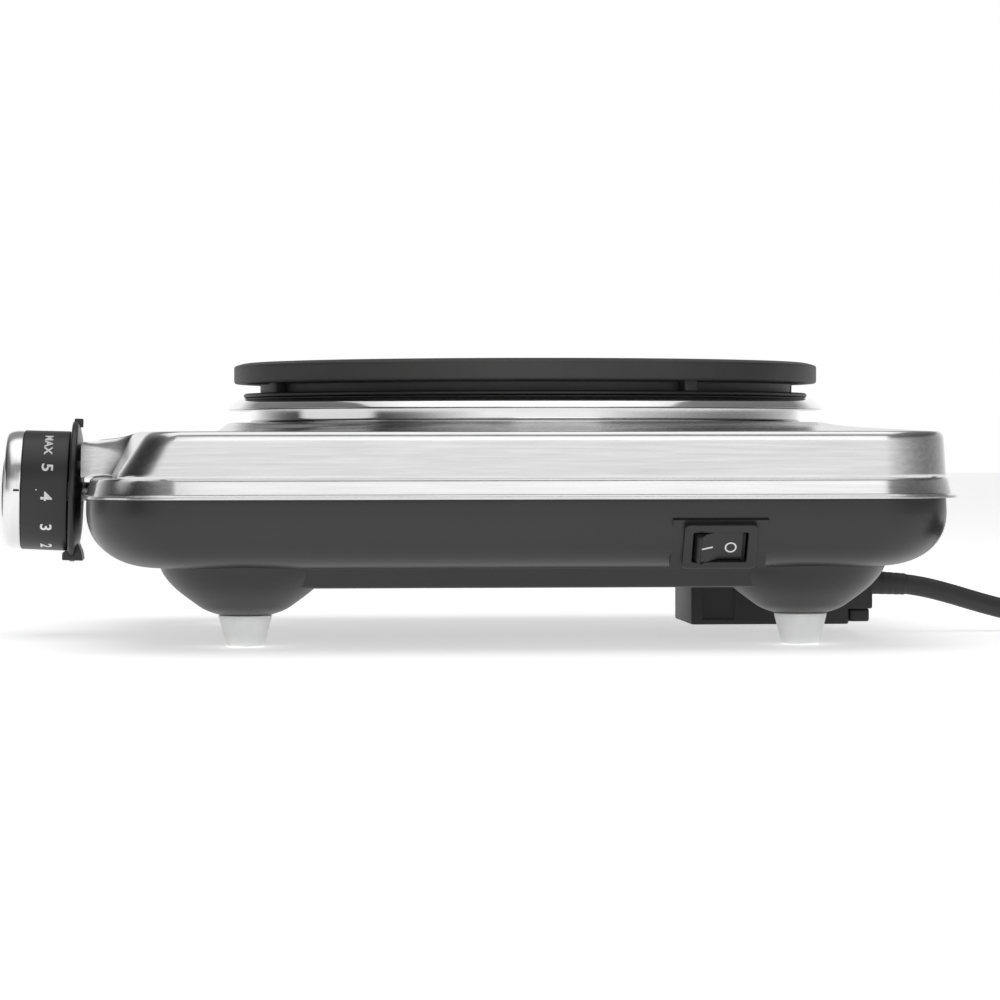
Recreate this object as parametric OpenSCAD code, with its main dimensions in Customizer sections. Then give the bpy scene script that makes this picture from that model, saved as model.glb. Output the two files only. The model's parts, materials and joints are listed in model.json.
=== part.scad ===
// Electric hot plate with one cast-iron plate, a dial on the front and a rocker switch
// on the right-hand side. Millimetres, +Z up, front towards -Y. The origin is on the
// floor, under the middle of the body and its dial.

/* [Plate] */
// Diameter of the cast-iron plate
plate_d = 185; // [150:1:190]
// Thickness of the plate at its rim
plate_t = 6.6; // [5:0.1:9]
// Depth of the shallow dish in the middle of the plate
dish_depth = 2.5; // [1:0.1:3]
// Height of the gap between plate and trim ring
recess_h = 4.2; // [3:0.1:6]

/* [Trim ring] */
// How far the ring's lip reaches past the plate's rim
lip_past_plate = 2; // [0:0.1:4]
// Height of the domed part of the ring
ring_h = 4.2; // [3:0.1:6]
// Height of the neck between the deck and the domed part
neck_h = 3.8; // [2:0.1:6]

/* [Cover] */
// Length of the cover from front to rear, over its flange
body_l = 262; // [245:0.1:320]
// Width of the cover over its flange
body_w = 230; // [215:1:280]
// Height of the upper wall
wall_h = 13.8; // [12:0.1:20]
// Height of the lower band
band_h = 5.9; // [5:0.1:9]
// Rise of the round island under the ring
island_h = 3; // [1.5:0.1:4]
// Sheet thickness
sheet = 0.8; // [0.6:0.1:1.2]
// Radius of the cover's rear corners
rear_r = 28; // [20:1:36]
// Radius of the cover's front corners
front_r = 26; // [20:1:32]

/* [Base] */
// Height of the curved tub
tub_h = 20.5; // [17:0.1:28]
// Depth of the lower platform
platform_h = 6.2; // [5:0.1:9]
// Wall thickness of the tub
tub_t = 2.2; // [1.8:0.1:3]
// Height of the feet
foot_h = 9.4; // [8:0.1:14]
// Distance between left and right feet
foot_span_x = 144; // [130:1:150]
// Distance between front and rear feet
foot_span_y = 167; // [150:1:175]

/* [Dial] */
// Diameter of the dial's numbered ring
dial_d = 37.8; // [31:0.1:46]
// Length of the numbered ring
dial_ring_l = 14.3; // [12:0.1:18]
// Length of the bright cap
dial_cap_l = 5.6; // [4:0.1:8]
// Diameter of the bezel behind the dial
bezel_d = 44.5; // [43:0.1:48]
// Diameter of the thermostat's shaft
shaft_d = 6; // [5:0.1:7]
// Upward tilt of the dial's axis, in degrees
dial_tilt = 2; // [0:0.5:3]

/* [Switch] */
// Length of the switch's frame
switch_l = 21.4; // [20:0.1:24]
// Width of the switch's frame
switch_w = 15; // [14:0.1:16]
// Length of the rocker's opening
rocker_l = 15.9; // [14:0.1:16.5]
// Tilt of the rocker each way, in degrees
rocker_tilt = 10; // [6:1:12]

/* [Cord] */
// Diameter of the mains cord
cord_d = 6.4; // [6:0.1:6.6]
// Length of the cord housing under the rear of the tub
cord_box_l = 57.7; // [50:0.1:64]
// Width of the cord housing
cord_box_w = 44; // [36:1:56]

/* [Clearances] */
// Radial running clearance of the dial's shaft and the rocker's pivots
run_clear = 0.05; // [0.02:0.01:0.1]
// Gap between pieces that are fitted together without touching
fit_clear = 0.2; // [0.1:0.05:0.3]
// Gap round a moving piece
move_clear = 0.4; // [0.3:0.05:0.6]

/* [Hidden] */
$fn = 72;

// Lengthwise layout: dial, then flange, add up to the overall length
badge_proud = 1.1;
dial_gap = 0.5;
bezel_t = 3.7;
dial_l = dial_gap + dial_ring_l + dial_cap_l + badge_proud;
badge_r = 9.85;
badge_dip = (badge_r - 0.5) * sin(dial_tilt);
nose_gap = 0.1;
total_l = body_l + dial_l + badge_dip + bezel_t + nose_gap;
flange_y0 = -total_l / 2 + dial_l + badge_dip + bezel_t + nose_gap;
flange_y1 = total_l / 2;
half_w = body_w / 2;
plate_y = flange_y0 + 140.2;
foot_x = foot_span_x / 2;
foot_y0 = plate_y - 89.6;
foot_y1 = foot_y0 + foot_span_y;

// Heights, from the floor up
boss_h = 8.2;
platform_z = foot_h + boss_h;
crease_z = platform_z + platform_h;
flange_z = crease_z + tub_h;
step_z = flange_z + band_h;
deck_z = step_z + wall_h;
island_z = deck_z + island_h;
lip_z = island_z + neck_h;
ring_top_z = lip_z + ring_h;
disc_t = 1.2;
plate_z = ring_top_z + recess_h;
plate_top_z = plate_z + plate_t;
plate_r = plate_d / 2;

// Round stack, from the plate's rim inwards
lip_r = plate_r + lip_past_plate;
disc_r = plate_r - 3;
skirt_r = plate_r - 8.3;
skirt_t = 2;
ring_in_r = skirt_r + 0.4;
neck_r = plate_r - 5.2;
hole_r = neck_r - 1.7;
island_r = plate_r + 2;
island_foot_r = plate_r + 5;
stud_r = 4;

// ---- outlines and skins ----
arc_n = 6;
side_n = 6;
front_n = 8;
bow_run = 70;

function corner(cx, cy, r, a0) =
    [for (i = [0:arc_n]) let (a = a0 + 90 * i / arc_n) [cx + r * cos(a), cy + r * sin(a)]];
function between(a, b, n) = [for (i = [1:n - 1]) a + (b - a) * i / n];
function bend(p, y0, hw, bow) =
    [p[0], p[1] + bow * pow(p[0] / hw, 2) * max(0, 1 - (p[1] - y0) / bow_run)];
// A rounded rectangle whose front edge bows forward in the middle, anticlockwise
function outline(y0, y1, hw, rf, rr, bow) =
    let (raw = concat(
        corner(hw - rf, y0 + rf, rf, -90), between([hw, y0 + rf], [hw, y1 - rr], side_n),
        corner(hw - rr, y1 - rr, rr, 0), between([hw - rr, y1], [rr - hw, y1], side_n),
        corner(rr - hw, y1 - rr, rr, 90), between([-hw, y1 - rr], [-hw, y0 + rf], side_n),
        corner(rf - hw, y0 + rf, rf, 180), between([rf - hw, y0], [hw - rf, y0], front_n)))
    [for (p = raw) bend(p, y0, hw, bow)];
function at_z(pts, z) = [for (p = pts) [p[0], p[1], z]];
function to_plate(p) = [p[0], p[1] - plate_y] / norm([p[0], p[1] - plate_y]);
// Places round the plate's axis, in the direction of each point of an outline
function round_ring(pts, r) = [for (p = pts) [0, plate_y] + r * to_plate(p)];

function flange_at(i) = outline(flange_y0 + i, flange_y1 - i, half_w - i,
    front_r - i, rear_r - i, 7);
wall_in = 3.4;
slope_front = 9.4;
function wall_at(i) = outline(flange_y0 + slope_front + i, flange_y1 - wall_in - i,
    half_w - wall_in - i, front_r - 6, rear_r - 4 - i, 4.5);
slope_run = 6.2;
function upper_at(i) = outline(flange_y0 + slope_front + slope_run + i,
    flange_y1 - wall_in - 0.9 - i, half_w - wall_in - 0.9 - i, front_r - 8, rear_r - 5 - i, 7.5);
tub_in = 3.1;
tub_front = 1.5;
function tub_at(i) = outline(flange_y0 + tub_front + i, flange_y1 - tub_in - i,
    half_w - tub_in - i, front_r - 2 - 0.6 * i, rear_r - 3 - 0.6 * i, 5.5);

module side_faces(rings, closed) {
    n = len(rings[0]);
    m = len(rings);
    last = closed ? m - 1 : m - 2;
    sides = [for (j = [0:last], i = [0:n - 1])
        let (k = (i + 1) % n, a = j * n, b = ((j + 1) % m) * n)
        each [[a + i, b + i, b + k], [a + i, b + k, a + k]]];
    caps = closed ? [] : [[for (i = [0:n - 1]) i], [for (i = [0:n - 1]) m * n - 1 - i]];
    polyhedron([for (r = rings) each r], concat(sides, caps));
}

// A tube of radius r along a route, with a ring of points at each point of the route
function along(p, i) = let (a = p[max(0, i - 1)], b = p[min(len(p) - 1, i + 1)])
    (b - a) / norm(b - a);
function across(t) = let (s = cross(t, abs(t[2]) > 0.9 ? [1, 0, 0] : [0, 0, 1])) s / norm(s);
module route_tube(p, r, sides) {
    rings = [for (i = [0:len(p) - 1])
        let (t = along(p, i), u = across(t), v = cross(u, t))
        [for (k = [0:sides - 1]) let (a = -360 * k / sides) p[i] + r * (u * cos(a) + v * sin(a))]];
    side_faces(rings, false);
}

// ---- frames ----
dial_z = flange_z + 1.2;
bezel_front_y = -total_l / 2 + dial_l * cos(dial_tilt) + badge_dip;
switch_y = plate_y + 48;
switch_z = crease_z + 7.3;
switch_lean = 32;
switch_x = half_w - tub_in - 3.3;
box_y1 = flange_y1 - 13.5;
box_y0 = box_y1 - cord_box_l;
box_z0 = 3.4;
exit_z = 16;
relief_l = 28.8;
relief_tilt = 3;
module on_plate() { translate([0, plate_y, 0]) children(); }
module on_dial() { translate([0, bezel_front_y, dial_z]) rotate([90 - dial_tilt, 0, 0]) children(); }
module on_switch() { translate([switch_x, switch_y, switch_z]) rotate([0, 90 + switch_lean, 0]) children(); }
module on_exit() { translate([0, box_y1 - relief_l / 2, exit_z + 0.6]) rotate([-90 - relief_tilt, 0, 0]) children(); }
module pipe(r1, r2, h) { difference() { cylinder(r = r1, h = h); translate([0, 0, -1]) cylinder(r = r2, h = h + 2); } }

// ---- plate and element ----
filler_t = 3.6;
ring_share = skirt_r / 84.2;
filler_in_r = 28 * ring_share;
cast_under_z = plate_z - 1.4;
filler_z = cast_under_z - filler_t;
coil_wire_r = 1.4;
coil_pitch = 11 * ring_share;
coil_n = 4;
rim_round = 1.2;
lug_angles = [-67, 30, 98, 205];
lug_w = 4.6;
module hotplate() color("#464646") on_plate() {
    difference() {
        union() {
            rotate_extrude() polygon([
                [0, plate_top_z - dish_depth], [17, plate_top_z - dish_depth], [21, plate_top_z],
                [plate_r - rim_round, plate_top_z], [plate_r - 0.35, plate_top_z - 0.35],
                [plate_r, plate_top_z - rim_round], [plate_r, plate_z + 0.6],
                [plate_r - 0.6, plate_z], [skirt_r, plate_z], [skirt_r, ring_top_z - 2.8],
                [skirt_r - skirt_t, ring_top_z - 2.8], [skirt_r - skirt_t, cast_under_z],
                [filler_in_r, cast_under_z], [filler_in_r, filler_z], [filler_in_r - 2, filler_z],
                [filler_in_r - 2, cast_under_z], [9, cast_under_z], [9, filler_z - 1.4],
                [0, filler_z - 1.4]]);
            for (a = lug_angles) rotate([0, 0, a])
                translate([skirt_r - 0.5, -lug_w / 2, ring_top_z + disc_t])
                    cube([4.2, lug_w, recess_h - disc_t + 0.5]);
        }
        translate([0, 0, filler_z - 3]) cylinder(r = stud_r, h = 9);
    }
}
module coil_rings(r) {
    for (i = [0:coil_n - 1]) rotate_extrude()
        translate([filler_in_r + 9 + i * coil_pitch, filler_z + filler_t / 2]) circle(r = r, $fn = 24);
}
module ceramic_filler() color("#d8d2c4") on_plate() difference() {
    translate([0, 0, filler_z]) pipe(skirt_r - skirt_t, filler_in_r, filler_t);
    coil_rings(coil_wire_r);
    for (a = [90, 120, 150]) rotate([0, 0, a])
        translate([pin_r_at, 0, filler_z - 1]) cylinder(r = pin_r, h = filler_t + 0.4 - 1);
}
module heating_coils() color("#8a7f78") on_plate() coil_rings(coil_wire_r);

shield_t = 0.6;
shield_z = filler_z - shield_t - 0.2;
pin_r = 1.5;
bead_r = 3.2;
pin_r_at = filler_in_r + 9 + coil_pitch * 1.5;
module heat_shield() color("#b9b9b6") on_plate() difference() {
    union() {
        translate([0, 0, shield_z]) pipe(skirt_r - skirt_t - 0.4, 12, shield_t);
        translate([0, 0, shield_z - 4]) pipe(filler_in_r - 4, filler_in_r - 4 - shield_t, 4.1);
    }
    for (a = [90, 120, 150]) rotate([0, 0, a])
        translate([pin_r_at, 0, shield_z - 1]) cylinder(r = bead_r, h = 3);
}
module element_pins() color("#c9c9c9") on_plate() for (a = [90, 120, 150]) rotate([0, 0, a])
    translate([pin_r_at, 0, filler_z - 16]) cylinder(r = pin_r, h = 16 + filler_t - 1.6);
module pin_insulators() color("#f1efe8") on_plate() for (a = [90, 120, 150]) rotate([0, 0, a])
    translate([pin_r_at, 0, filler_z - 9]) pipe(bead_r, pin_r, 9);

bridge_z = deck_z - 8;
bridge_t = 1.5;
bridge_w = 26;
bridge_r = neck_r + 3;
module plate_stud() color("#bdbdbd") on_plate()
    translate([0, 0, bridge_z - 9]) cylinder(r = stud_r - run_clear, h = filler_z + 5.8 - bridge_z + 9);
module support_bridge() color("#a9aaab") on_plate() difference() {
    translate([0, bridge_w / 2, 0]) rotate([90, 0, 0]) linear_extrude(bridge_w) polygon([
        [-bridge_r, island_z - sheet - bridge_t], [-hole_r + 2, island_z - sheet - bridge_t],
        [-hole_r + 14, bridge_z - bridge_t], [hole_r - 14, bridge_z - bridge_t],
        [hole_r - 2, island_z - sheet - bridge_t], [bridge_r, island_z - sheet - bridge_t],
        [bridge_r, island_z - sheet], [hole_r - 2.6, island_z - sheet],
        [hole_r - 14.6, bridge_z], [-hole_r + 14.6, bridge_z],
        [-hole_r + 2.6, island_z - sheet], [-bridge_r, island_z - sheet]]);
    translate([0, 0, bridge_z - 5]) cylinder(r = stud_r + fit_clear, h = 10);
}
module stud_washer() color("#c4c4c4") on_plate()
    translate([0, 0, bridge_z - bridge_t - 1.6]) pipe(9, stud_r + fit_clear, 1.6);
module stud_nut() color("#b5b5b5") on_plate() translate([0, 0, bridge_z - bridge_t - 1.6 - 5.6])
    difference() { cylinder(r = 7.5, h = 5.6, $fn = 6); translate([0, 0, -1]) cylinder(r = stud_r - run_clear, h = 8); }

// ---- ring round the plate ----
module spacer_disc() color("#1d1d1d") on_plate()
    translate([0, 0, ring_top_z]) pipe(disc_r, ring_in_r, disc_t);
module trim_ring() color("#e2e2e2") on_plate() rotate_extrude() polygon([
    [neck_r - sheet, island_z], [neck_r, island_z], [neck_r, lip_z + 1.5],
    [lip_r - 3.6, lip_z + 0.9], [lip_r - 0.9, lip_z], [lip_r, lip_z + 0.4],
    [lip_r - 1.6, lip_z + 1.9], [lip_r - 3.6, lip_z + 3], [lip_r - 6, lip_z + 3.8],
    [lip_r - 8.4, ring_top_z], [ring_in_r, ring_top_z], [ring_in_r, ring_top_z - sheet],
    [neck_r - sheet, ring_top_z - sheet - 0.6]]);

// ---- steel cover ----
nose_w = 38;
nose_top = 15.7;
nose_bottom = 4.2;
nose_depth = 30;
// Share of the way to the rear, 0 in front of the plate and 1 behind it
function rearward(p) = let (c = to_plate(p)[1]) min(1, max(0, (c + 0.75) / 0.5));
function island_foot(dz) = let (o = upper_at(3.2)) [for (i = [0:len(o) - 1])
    let (q = round_ring(o, island_foot_r)[i])
    [q[0], q[1], deck_z + 0.2 + rearward(o[i]) * (island_h - 0.7) + dz]];
function deck_mid(dz) = let (o = upper_at(3.2), c = round_ring(o, island_foot_r))
    [for (i = [0:len(o) - 1]) let (q = (o[i] + c[i]) / 2)
    [q[0], q[1], deck_z + 0.1 + rearward(o[i]) * island_h * 0.5 + dz]];
function island_ring(r, z) = at_z(round_ring(upper_at(3.2), r), z);
module nose(t) {
    // t is the inset from the outer skin
    hull() {
        on_dial() translate([0, 0, -bezel_t - nose_gap - 0.5 - t]) linear_extrude(0.5) polygon([
            [-nose_w + t, nose_bottom - 2 * t], [nose_w - t, nose_bottom - 2 * t],
            [nose_w - 1.5 - t, nose_top - 4 - t], [nose_w - 5 - t, nose_top - t],
            [-nose_w + 5 + t, nose_top - t], [-nose_w + 1.5 + t, nose_top - 4 - t]]);
        translate([0, flange_y0 + nose_depth, 0]) rotate([90, 0, 0]) linear_extrude(0.5) polygon([
            [-nose_w + t, step_z - 0.3 - 2 * t], [nose_w - t, step_z - 0.3 - 2 * t],
            [nose_w - 1.5 - t, deck_z - 4.4 - t], [nose_w - 5 - t, deck_z - 0.4 - t],
            [-nose_w + 5 + t, deck_z - 0.4 - t], [-nose_w + 1.5 + t, deck_z - 4.4 - t]]);
    }
}
module cover() color("#d9dadb") difference() {
    union() {
        side_faces([
            at_z(flange_at(0), flange_z), at_z(flange_at(0), flange_z + sheet * 0.9),
            at_z(flange_at(1.5), flange_z + sheet), at_z(flange_at(2.6), step_z - 0.3),
            at_z(flange_at(2.9), step_z), at_z(wall_at(0), step_z),
            at_z(upper_at(0), deck_z - 3.2), at_z(upper_at(0.8), deck_z - 1.3),
            at_z(upper_at(1.9), deck_z - 0.35), at_z(upper_at(3.2), deck_z),
            deck_mid(0), island_foot(0), island_ring(island_r, island_z),
            island_ring(hole_r, island_z), island_ring(hole_r, island_z - sheet),
            island_ring(island_r, island_z - sheet), island_foot(-sheet), deck_mid(-sheet),
            at_z(upper_at(3.4), deck_z - sheet), at_z(upper_at(sheet), deck_z - 3.4),
            at_z(wall_at(sheet), step_z - sheet), at_z(flange_at(3.7), step_z - sheet),
            at_z(flange_at(2.4), flange_z)], true);
        nose(0);
    }
    nose(sheet);
    on_dial() translate([0, 0, -30]) cylinder(r = shaft_d / 2 + 3.5, h = 30);
    on_dial() for (s = [-1, 1]) translate([s * fix_x, fix_y, -12]) cylinder(r = fix_r + 0.2, h = 12);
}
post_top = island_z - 1.6;
module foot_places() {
    for (sx = [-1, 1], fy = [foot_y0, foot_y1]) translate([sx * foot_x, fy, 0]) children();
}
boss_floor = 2.6;
module cover_posts() color("#b0b0b0") intersection() {
    foot_places() translate([0, 0, foot_h + boss_floor + 3]) cylinder(r = 3.6, h = post_top);
    translate([-half_w, flange_y0, 0]) cube([body_w, body_l, deck_z - sheet + 0.15]);
}

// ---- black tub ----
curve_n = 7;
curve_x = 20;
curve_z = tub_h - 4;
curve_p = 2.25;
// Inset of the tub's wall at a share u of its curved height
function tuck(u) = curve_x * (1 - pow(1 - pow(u, curve_p), 1 / curve_p));
function tub_ring(u, t, lift) = at_z(tub_at(tuck(u) + t), crease_z + curve_z * (1 - u) + lift);
platform_in = 21.5;
platform_lean = 5;
module boss(t) {
    // a dome that carries a foot; t is the inset for its hollow
    z = foot_h + (t > 0 ? boss_floor : 0);
    rotate_extrude() polygon([[0, z], [8 - t * 0.4, z], [12.2 - t * 0.8, z + 1.7 - t * 0.2],
        [15.5 - t, z + 4.1 - t * 0.4], [18.8 - t, z + 6.3 - t * 0.6], [21.6 - t, z + 8.6 - t],
        [24.2 - t, crease_z - 2.6], [25.4 - t, crease_z + 0.1], [25.4 - t, crease_z + (t > 0 ? 6 : 0.2)],
        [0, crease_z + (t > 0 ? 6 : 0.2)]]);
}
pocket_l = 26;
pocket_w = 17;
frame_in_w = 12.6;
frame_in_l = 18.8;
module base_tub() color("#3b3b3b") difference() {
    union() {
        side_faces(concat(
            [at_z(tub_at(platform_in + platform_lean + 0.8), platform_z),
             at_z(tub_at(platform_in + platform_lean - 0.2), platform_z + 0.6),
             at_z(tub_at(platform_in), crease_z - 0.2)],
            [for (i = [curve_n - 1:-1:0]) tub_ring(sin(90 * i / curve_n), 0, 0)],
            [at_z(tub_at(0.2), flange_z - 0.1), at_z(flange_at(3.9), flange_z - 0.1),
             at_z(flange_at(4.2), step_z - 1.6), at_z(flange_at(4.2 + tub_t), step_z - 1.6),
             at_z(flange_at(4.4 + tub_t), flange_z - 1)],
            [for (i = [0:curve_n - 1]) tub_ring(sin(90 * i / curve_n), tub_t * 1.2, tub_t * 0.75)],
            [at_z(tub_at(platform_in + tub_t * 1.2), crease_z + tub_t * 0.4),
             at_z(tub_at(platform_in + platform_lean + tub_t), platform_z + tub_t)]),
            false);
        foot_places() boss(0);
        on_switch() translate([-pocket_w / 2 + 0.5, -pocket_l / 2 - 1, -3.4])
            cube([pocket_w - 1, pocket_l + 2, 3.4]);
    }
    foot_places() boss(tub_t);
    foot_places() translate([0, 0, foot_h - 1]) cylinder(r = screw_r + fit_clear, h = 10);
    on_switch() translate([-pocket_w / 2, -pocket_l / 2, 0]) cube([pocket_w, pocket_l, 12]);
    on_switch() translate([-frame_in_w / 2 - fit_clear, -frame_in_l / 2 - fit_clear, -12])
        cube([frame_in_w + 2 * fit_clear, frame_in_l + 2 * fit_clear, 20]);
    on_dial() translate([0, 0, -30]) cylinder(r = shaft_d / 2 + 3.5, h = 30);
    translate([0, box_y0 + 26, 0]) cylinder(r = cord_d / 2 + 1, h = crease_z);
    for (i = [-3:3], s = [-1, 1]) translate([s * 34 - 16, plate_y - 20 + i * 8 - 30, platform_z - 2])
        cube([32, 3, 8]);
}

// ---- feet ----
screw_r = 1.75;
foot_top_r = 8;
foot_low_r = 5.75;
module foot(sx, y) color("#ececec") translate([sx * foot_x, y, 0]) rotate_extrude() polygon([
    [screw_r + fit_clear, foot_h - 5], [3.9, foot_h - 5], [3.9, 0], [foot_low_r - 0.8, 0],
    [foot_low_r - 0.1, 0.8], [foot_top_r - 0.7, foot_h - 2.4], [foot_top_r, foot_h - 2],
    [foot_top_r, foot_h - fit_clear / 4], [screw_r + fit_clear, foot_h - fit_clear / 4]]);
module foot_front_right() foot(1, foot_y0);
module foot_front_left() foot(-1, foot_y0);
module foot_rear_right() foot(1, foot_y1);
module foot_rear_left() foot(-1, foot_y1);
module foot_screws() color("#b8b8b8") foot_places() {
    translate([0, 0, foot_h - 7.2]) cylinder(r = 3.3, h = 2.2);
    translate([0, 0, foot_h - 5]) cylinder(r = screw_r, h = 5 + boss_floor + 3);
}

// ---- dial ----
cap_z = dial_gap + dial_ring_l;
dial_r = dial_d / 2;
shaft_r = shaft_d / 2;
hub_r = shaft_r + 3;
fix_x = 12.5;
fix_y = 8.4;
fix_r = 1.5;
module bezel() color("#2b2b2b") difference() {
    union() {
        on_dial() rotate_extrude() polygon([[0, 0], [bezel_d / 2 - 0.5, 0], [bezel_d / 2, -0.5],
            [bezel_d / 2, 2 - bezel_t], [bezel_d / 2 - 0.5, 1.6 - bezel_t], [bezel_d / 2 - 2.6, 1.1 - bezel_t],
            [bezel_d / 2 - 6, 0.4 - bezel_t], [bezel_d / 2 - 9, -bezel_t], [0, -bezel_t]]);
        on_dial() intersection() {
            translate([-9, -bezel_d / 2 - 1, -bezel_t]) cube([18, 6.6, bezel_t - 0.6]);
            translate([0, 0, -bezel_t]) cylinder(r = bezel_d / 2, h = bezel_t);
        }
    }
    on_dial() translate([0, 0, -bezel_t - 1]) cylinder(r = shaft_r + 1.5, h = bezel_t + 2);
    on_dial() for (s = [-1, 1]) translate([s * fix_x, fix_y, 0]) {
        translate([0, 0, -2]) cylinder(r = 2.9, h = 3);
        translate([0, 0, -bezel_t - 1]) cylinder(r = fix_r + 0.1, h = bezel_t + 2);
    }
    on_dial() translate([0, 0, -1]) pipe(dial_r - 1, hub_r + 2, 2);
}
module bezel_screws() color("#b8b8b8") on_dial() for (s = [-1, 1]) translate([s * fix_x, fix_y, 0]) {
    translate([0, 0, -2]) cylinder(r = 2.7, h = 1.6);
    translate([0, 0, bracket_z - bracket_t]) cylinder(r = fix_r, h = -2 - bracket_z + bracket_t);
}
module dial_ring() color("#262626") on_dial() rotate_extrude() polygon([
    [shaft_r, dial_gap + 3], [hub_r, dial_gap + 3], [hub_r, cap_z - 2], [dial_r - 2, cap_z - 2],
    [dial_r - 2, dial_gap], [dial_r, dial_gap], [dial_r - 0.15, cap_z], [shaft_r, cap_z]]);
module dial_cap() color("#e4e4e4") on_dial() rotate_extrude() polygon([
    [0, cap_z], [dial_r - 0.15, cap_z], [dial_r - 0.3, cap_z + dial_cap_l - 2.2],
    [dial_r - 0.9, cap_z + dial_cap_l - 0.9], [dial_r - 2.3, cap_z + dial_cap_l],
    [badge_r + 0.1, cap_z + dial_cap_l], [badge_r + 0.1, cap_z + dial_cap_l - 1.2],
    [0, cap_z + dial_cap_l - 1.2]]);
module dial_badge() color("#1c1c1c") on_dial() translate([0, 0, cap_z + dial_cap_l - 1.2])
    rotate_extrude() polygon([[0, 0], [badge_r, 0], [badge_r, badge_proud + 0.7], [badge_r - 0.5, badge_proud + 1.2],
        [0, badge_proud + 1.2]]);
module dial_clip() color("#c8c8c8") on_dial() translate([0, 0, dial_gap + 3.6]) pipe(hub_r + 0.8, hub_r, 2);

bracket_z = -15;
bracket_t = 1.2;
body_z = bracket_z - bracket_t;
body_d = 20;
shaft_end = body_z - 9;
module thermostat_shaft() color("#cfcfcf") on_dial() translate([0, 0, shaft_end])
    cylinder(r = shaft_r - 0.01, h = cap_z - shaft_end - 0.2);
module thermostat_body() color("#e9e2cf") on_dial() difference() {
    union() {
        translate([-14, -12, body_z - body_d]) cube([28, 24, body_d]);
        translate([0, 0, body_z]) cylinder(r = shaft_r + 2, h = bracket_t + 7);
    }
    translate([0, 0, shaft_end - 0.4]) cylinder(r = shaft_r - 0.01 + run_clear, h = 60);
}
module thermostat_bracket() color("#b7b9ba") on_dial() difference() {
    union() {
        translate([-17, -12, bracket_z - bracket_t]) cube([34, 26, bracket_t]);
        for (s = [-1, 1]) translate([s * fix_x, fix_y, bracket_z])
            cylinder(r = 3, h = -bezel_t - nose_gap - sheet - 0.2 - bracket_z);
    }
    translate([0, 0, bracket_z - 3]) cylinder(r = shaft_r + 2 + run_clear, h = 6);
    for (s = [-1, 1]) translate([s * fix_x, fix_y, bracket_z - 3]) cylinder(r = fix_r, h = 20);
}
module thermostat_tabs() color("#caa64b") on_dial() for (s = [-1, 1])
    translate([s * 8 - 3.15, -9, body_z - body_d - 8]) cube([6.3, 0.8, 8]);

// ---- rocker switch ----
frame_t = 2;
pivot_z = -1;
rocker_r = 7.8;
rocker_w = 9.6;
pivot_pin_r = 1.2;
frame_depth = 14;
module switch_frame() color("#303030") on_switch() difference() {
    union() {
        translate([-switch_w / 2, -switch_l / 2, 0]) cube([switch_w, switch_l, frame_t]);
        translate([-frame_in_w / 2, -frame_in_l / 2, -frame_depth]) cube([frame_in_w, frame_in_l, frame_depth + 0.5]);
    }
    translate([-rocker_w / 2 - 0.3, -rocker_l / 2, pivot_z - rocker_r - 0.4])
        cube([rocker_w + 0.6, rocker_l, 30]);
    translate([-frame_in_w, 0, pivot_z]) rotate([0, 90, 0])
        cylinder(r = pivot_pin_r + run_clear, h = 2 * frame_in_w);
}
module switch_rocker() color("#232323") on_switch() translate([0, 0, pivot_z]) rotate([-rocker_tilt, 0, 0]) {
    difference() {
        translate([-rocker_w / 2, 0, 0]) rotate([0, 90, 0])
            cylinder(r = min(rocker_r, rocker_l / 2 - 0.15), h = rocker_w);
        translate([-rocker_w, 0, 0]) rotate([90, 0, 90]) linear_extrude(2 * rocker_w)
            polygon([[-20, 3 + 12.8 * tan(rocker_tilt)], [0, 1.73], [20, 3 + 12.8 * tan(rocker_tilt)], [0, 20]]);
    }
    translate([-rocker_w / 2 - 1.2, 0, 0]) rotate([0, 90, 0]) cylinder(r = pivot_pin_r, h = rocker_w + 2.4);
}
module switch_tabs() color("#caa64b") on_switch() for (y = [-5, 3])
    translate([-3.15, y, -frame_depth - 8]) cube([6.3, 0.8, 8]);

// ---- wiring inside ----
floor_z = platform_z + tub_t;
block_x = -26;
block_y = box_y0 - 12;
module terminal_block() color("#efefe6") difference() {
    translate([block_x - 16, block_y - 9, floor_z]) cube([32, 18, 13]);
    for (i = [-1:1]) translate([block_x + i * 10, block_y, floor_z]) {
        translate([0, -20, 5]) rotate([-90, 0, 0]) cylinder(r = 1.8, h = 40);
        translate([0, 0, 5]) cylinder(r = 1.5, h = 20);
    }
}
module terminal_screws() color("#b9a15a") for (i = [-1:1])
    translate([block_x + i * 10, block_y, floor_z + 7]) cylinder(r = 1.4, h = 5);
module earth_bolt() color("#bcbcbc") translate([38, block_y, floor_z]) {
    cylinder(r = 4, h = 3.2, $fn = 6);
    cylinder(r = 2, h = 12);
}
lead_r = 1.1;
lead_z = floor_z + 5;
module inner_leads() {
    color("#8a5a34") route_tube([[block_x - 10, block_y - 10, lead_z], [block_x - 10, block_y - 24, lead_z + 2],
        [block_x - 2, plate_y - 6, lead_z + 4], [-14, plate_y - 50, lead_z + 3], [-8, flange_y0 + 52, lead_z + 2]], lead_r, 8);
    color("#3c62a8") route_tube([[block_x, block_y - 10, lead_z], [block_x + 6, block_y - 26, lead_z + 2],
        [10, plate_y - 20, lead_z + 3], [44, plate_y - 24, lead_z + 3], [60, plate_y + 10, lead_z + 6],
        [72, switch_y - 12, lead_z + 8]], lead_r, 8);
    color("#7ba23f") route_tube([[block_x + 10, block_y - 10, lead_z], [block_x + 16, block_y - 20, lead_z + 2],
        [10, block_y - 20, lead_z + 2], [26, block_y - 12, lead_z + 1], [32, block_y - 3, lead_z + 1]], lead_r, 8);
}

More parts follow.
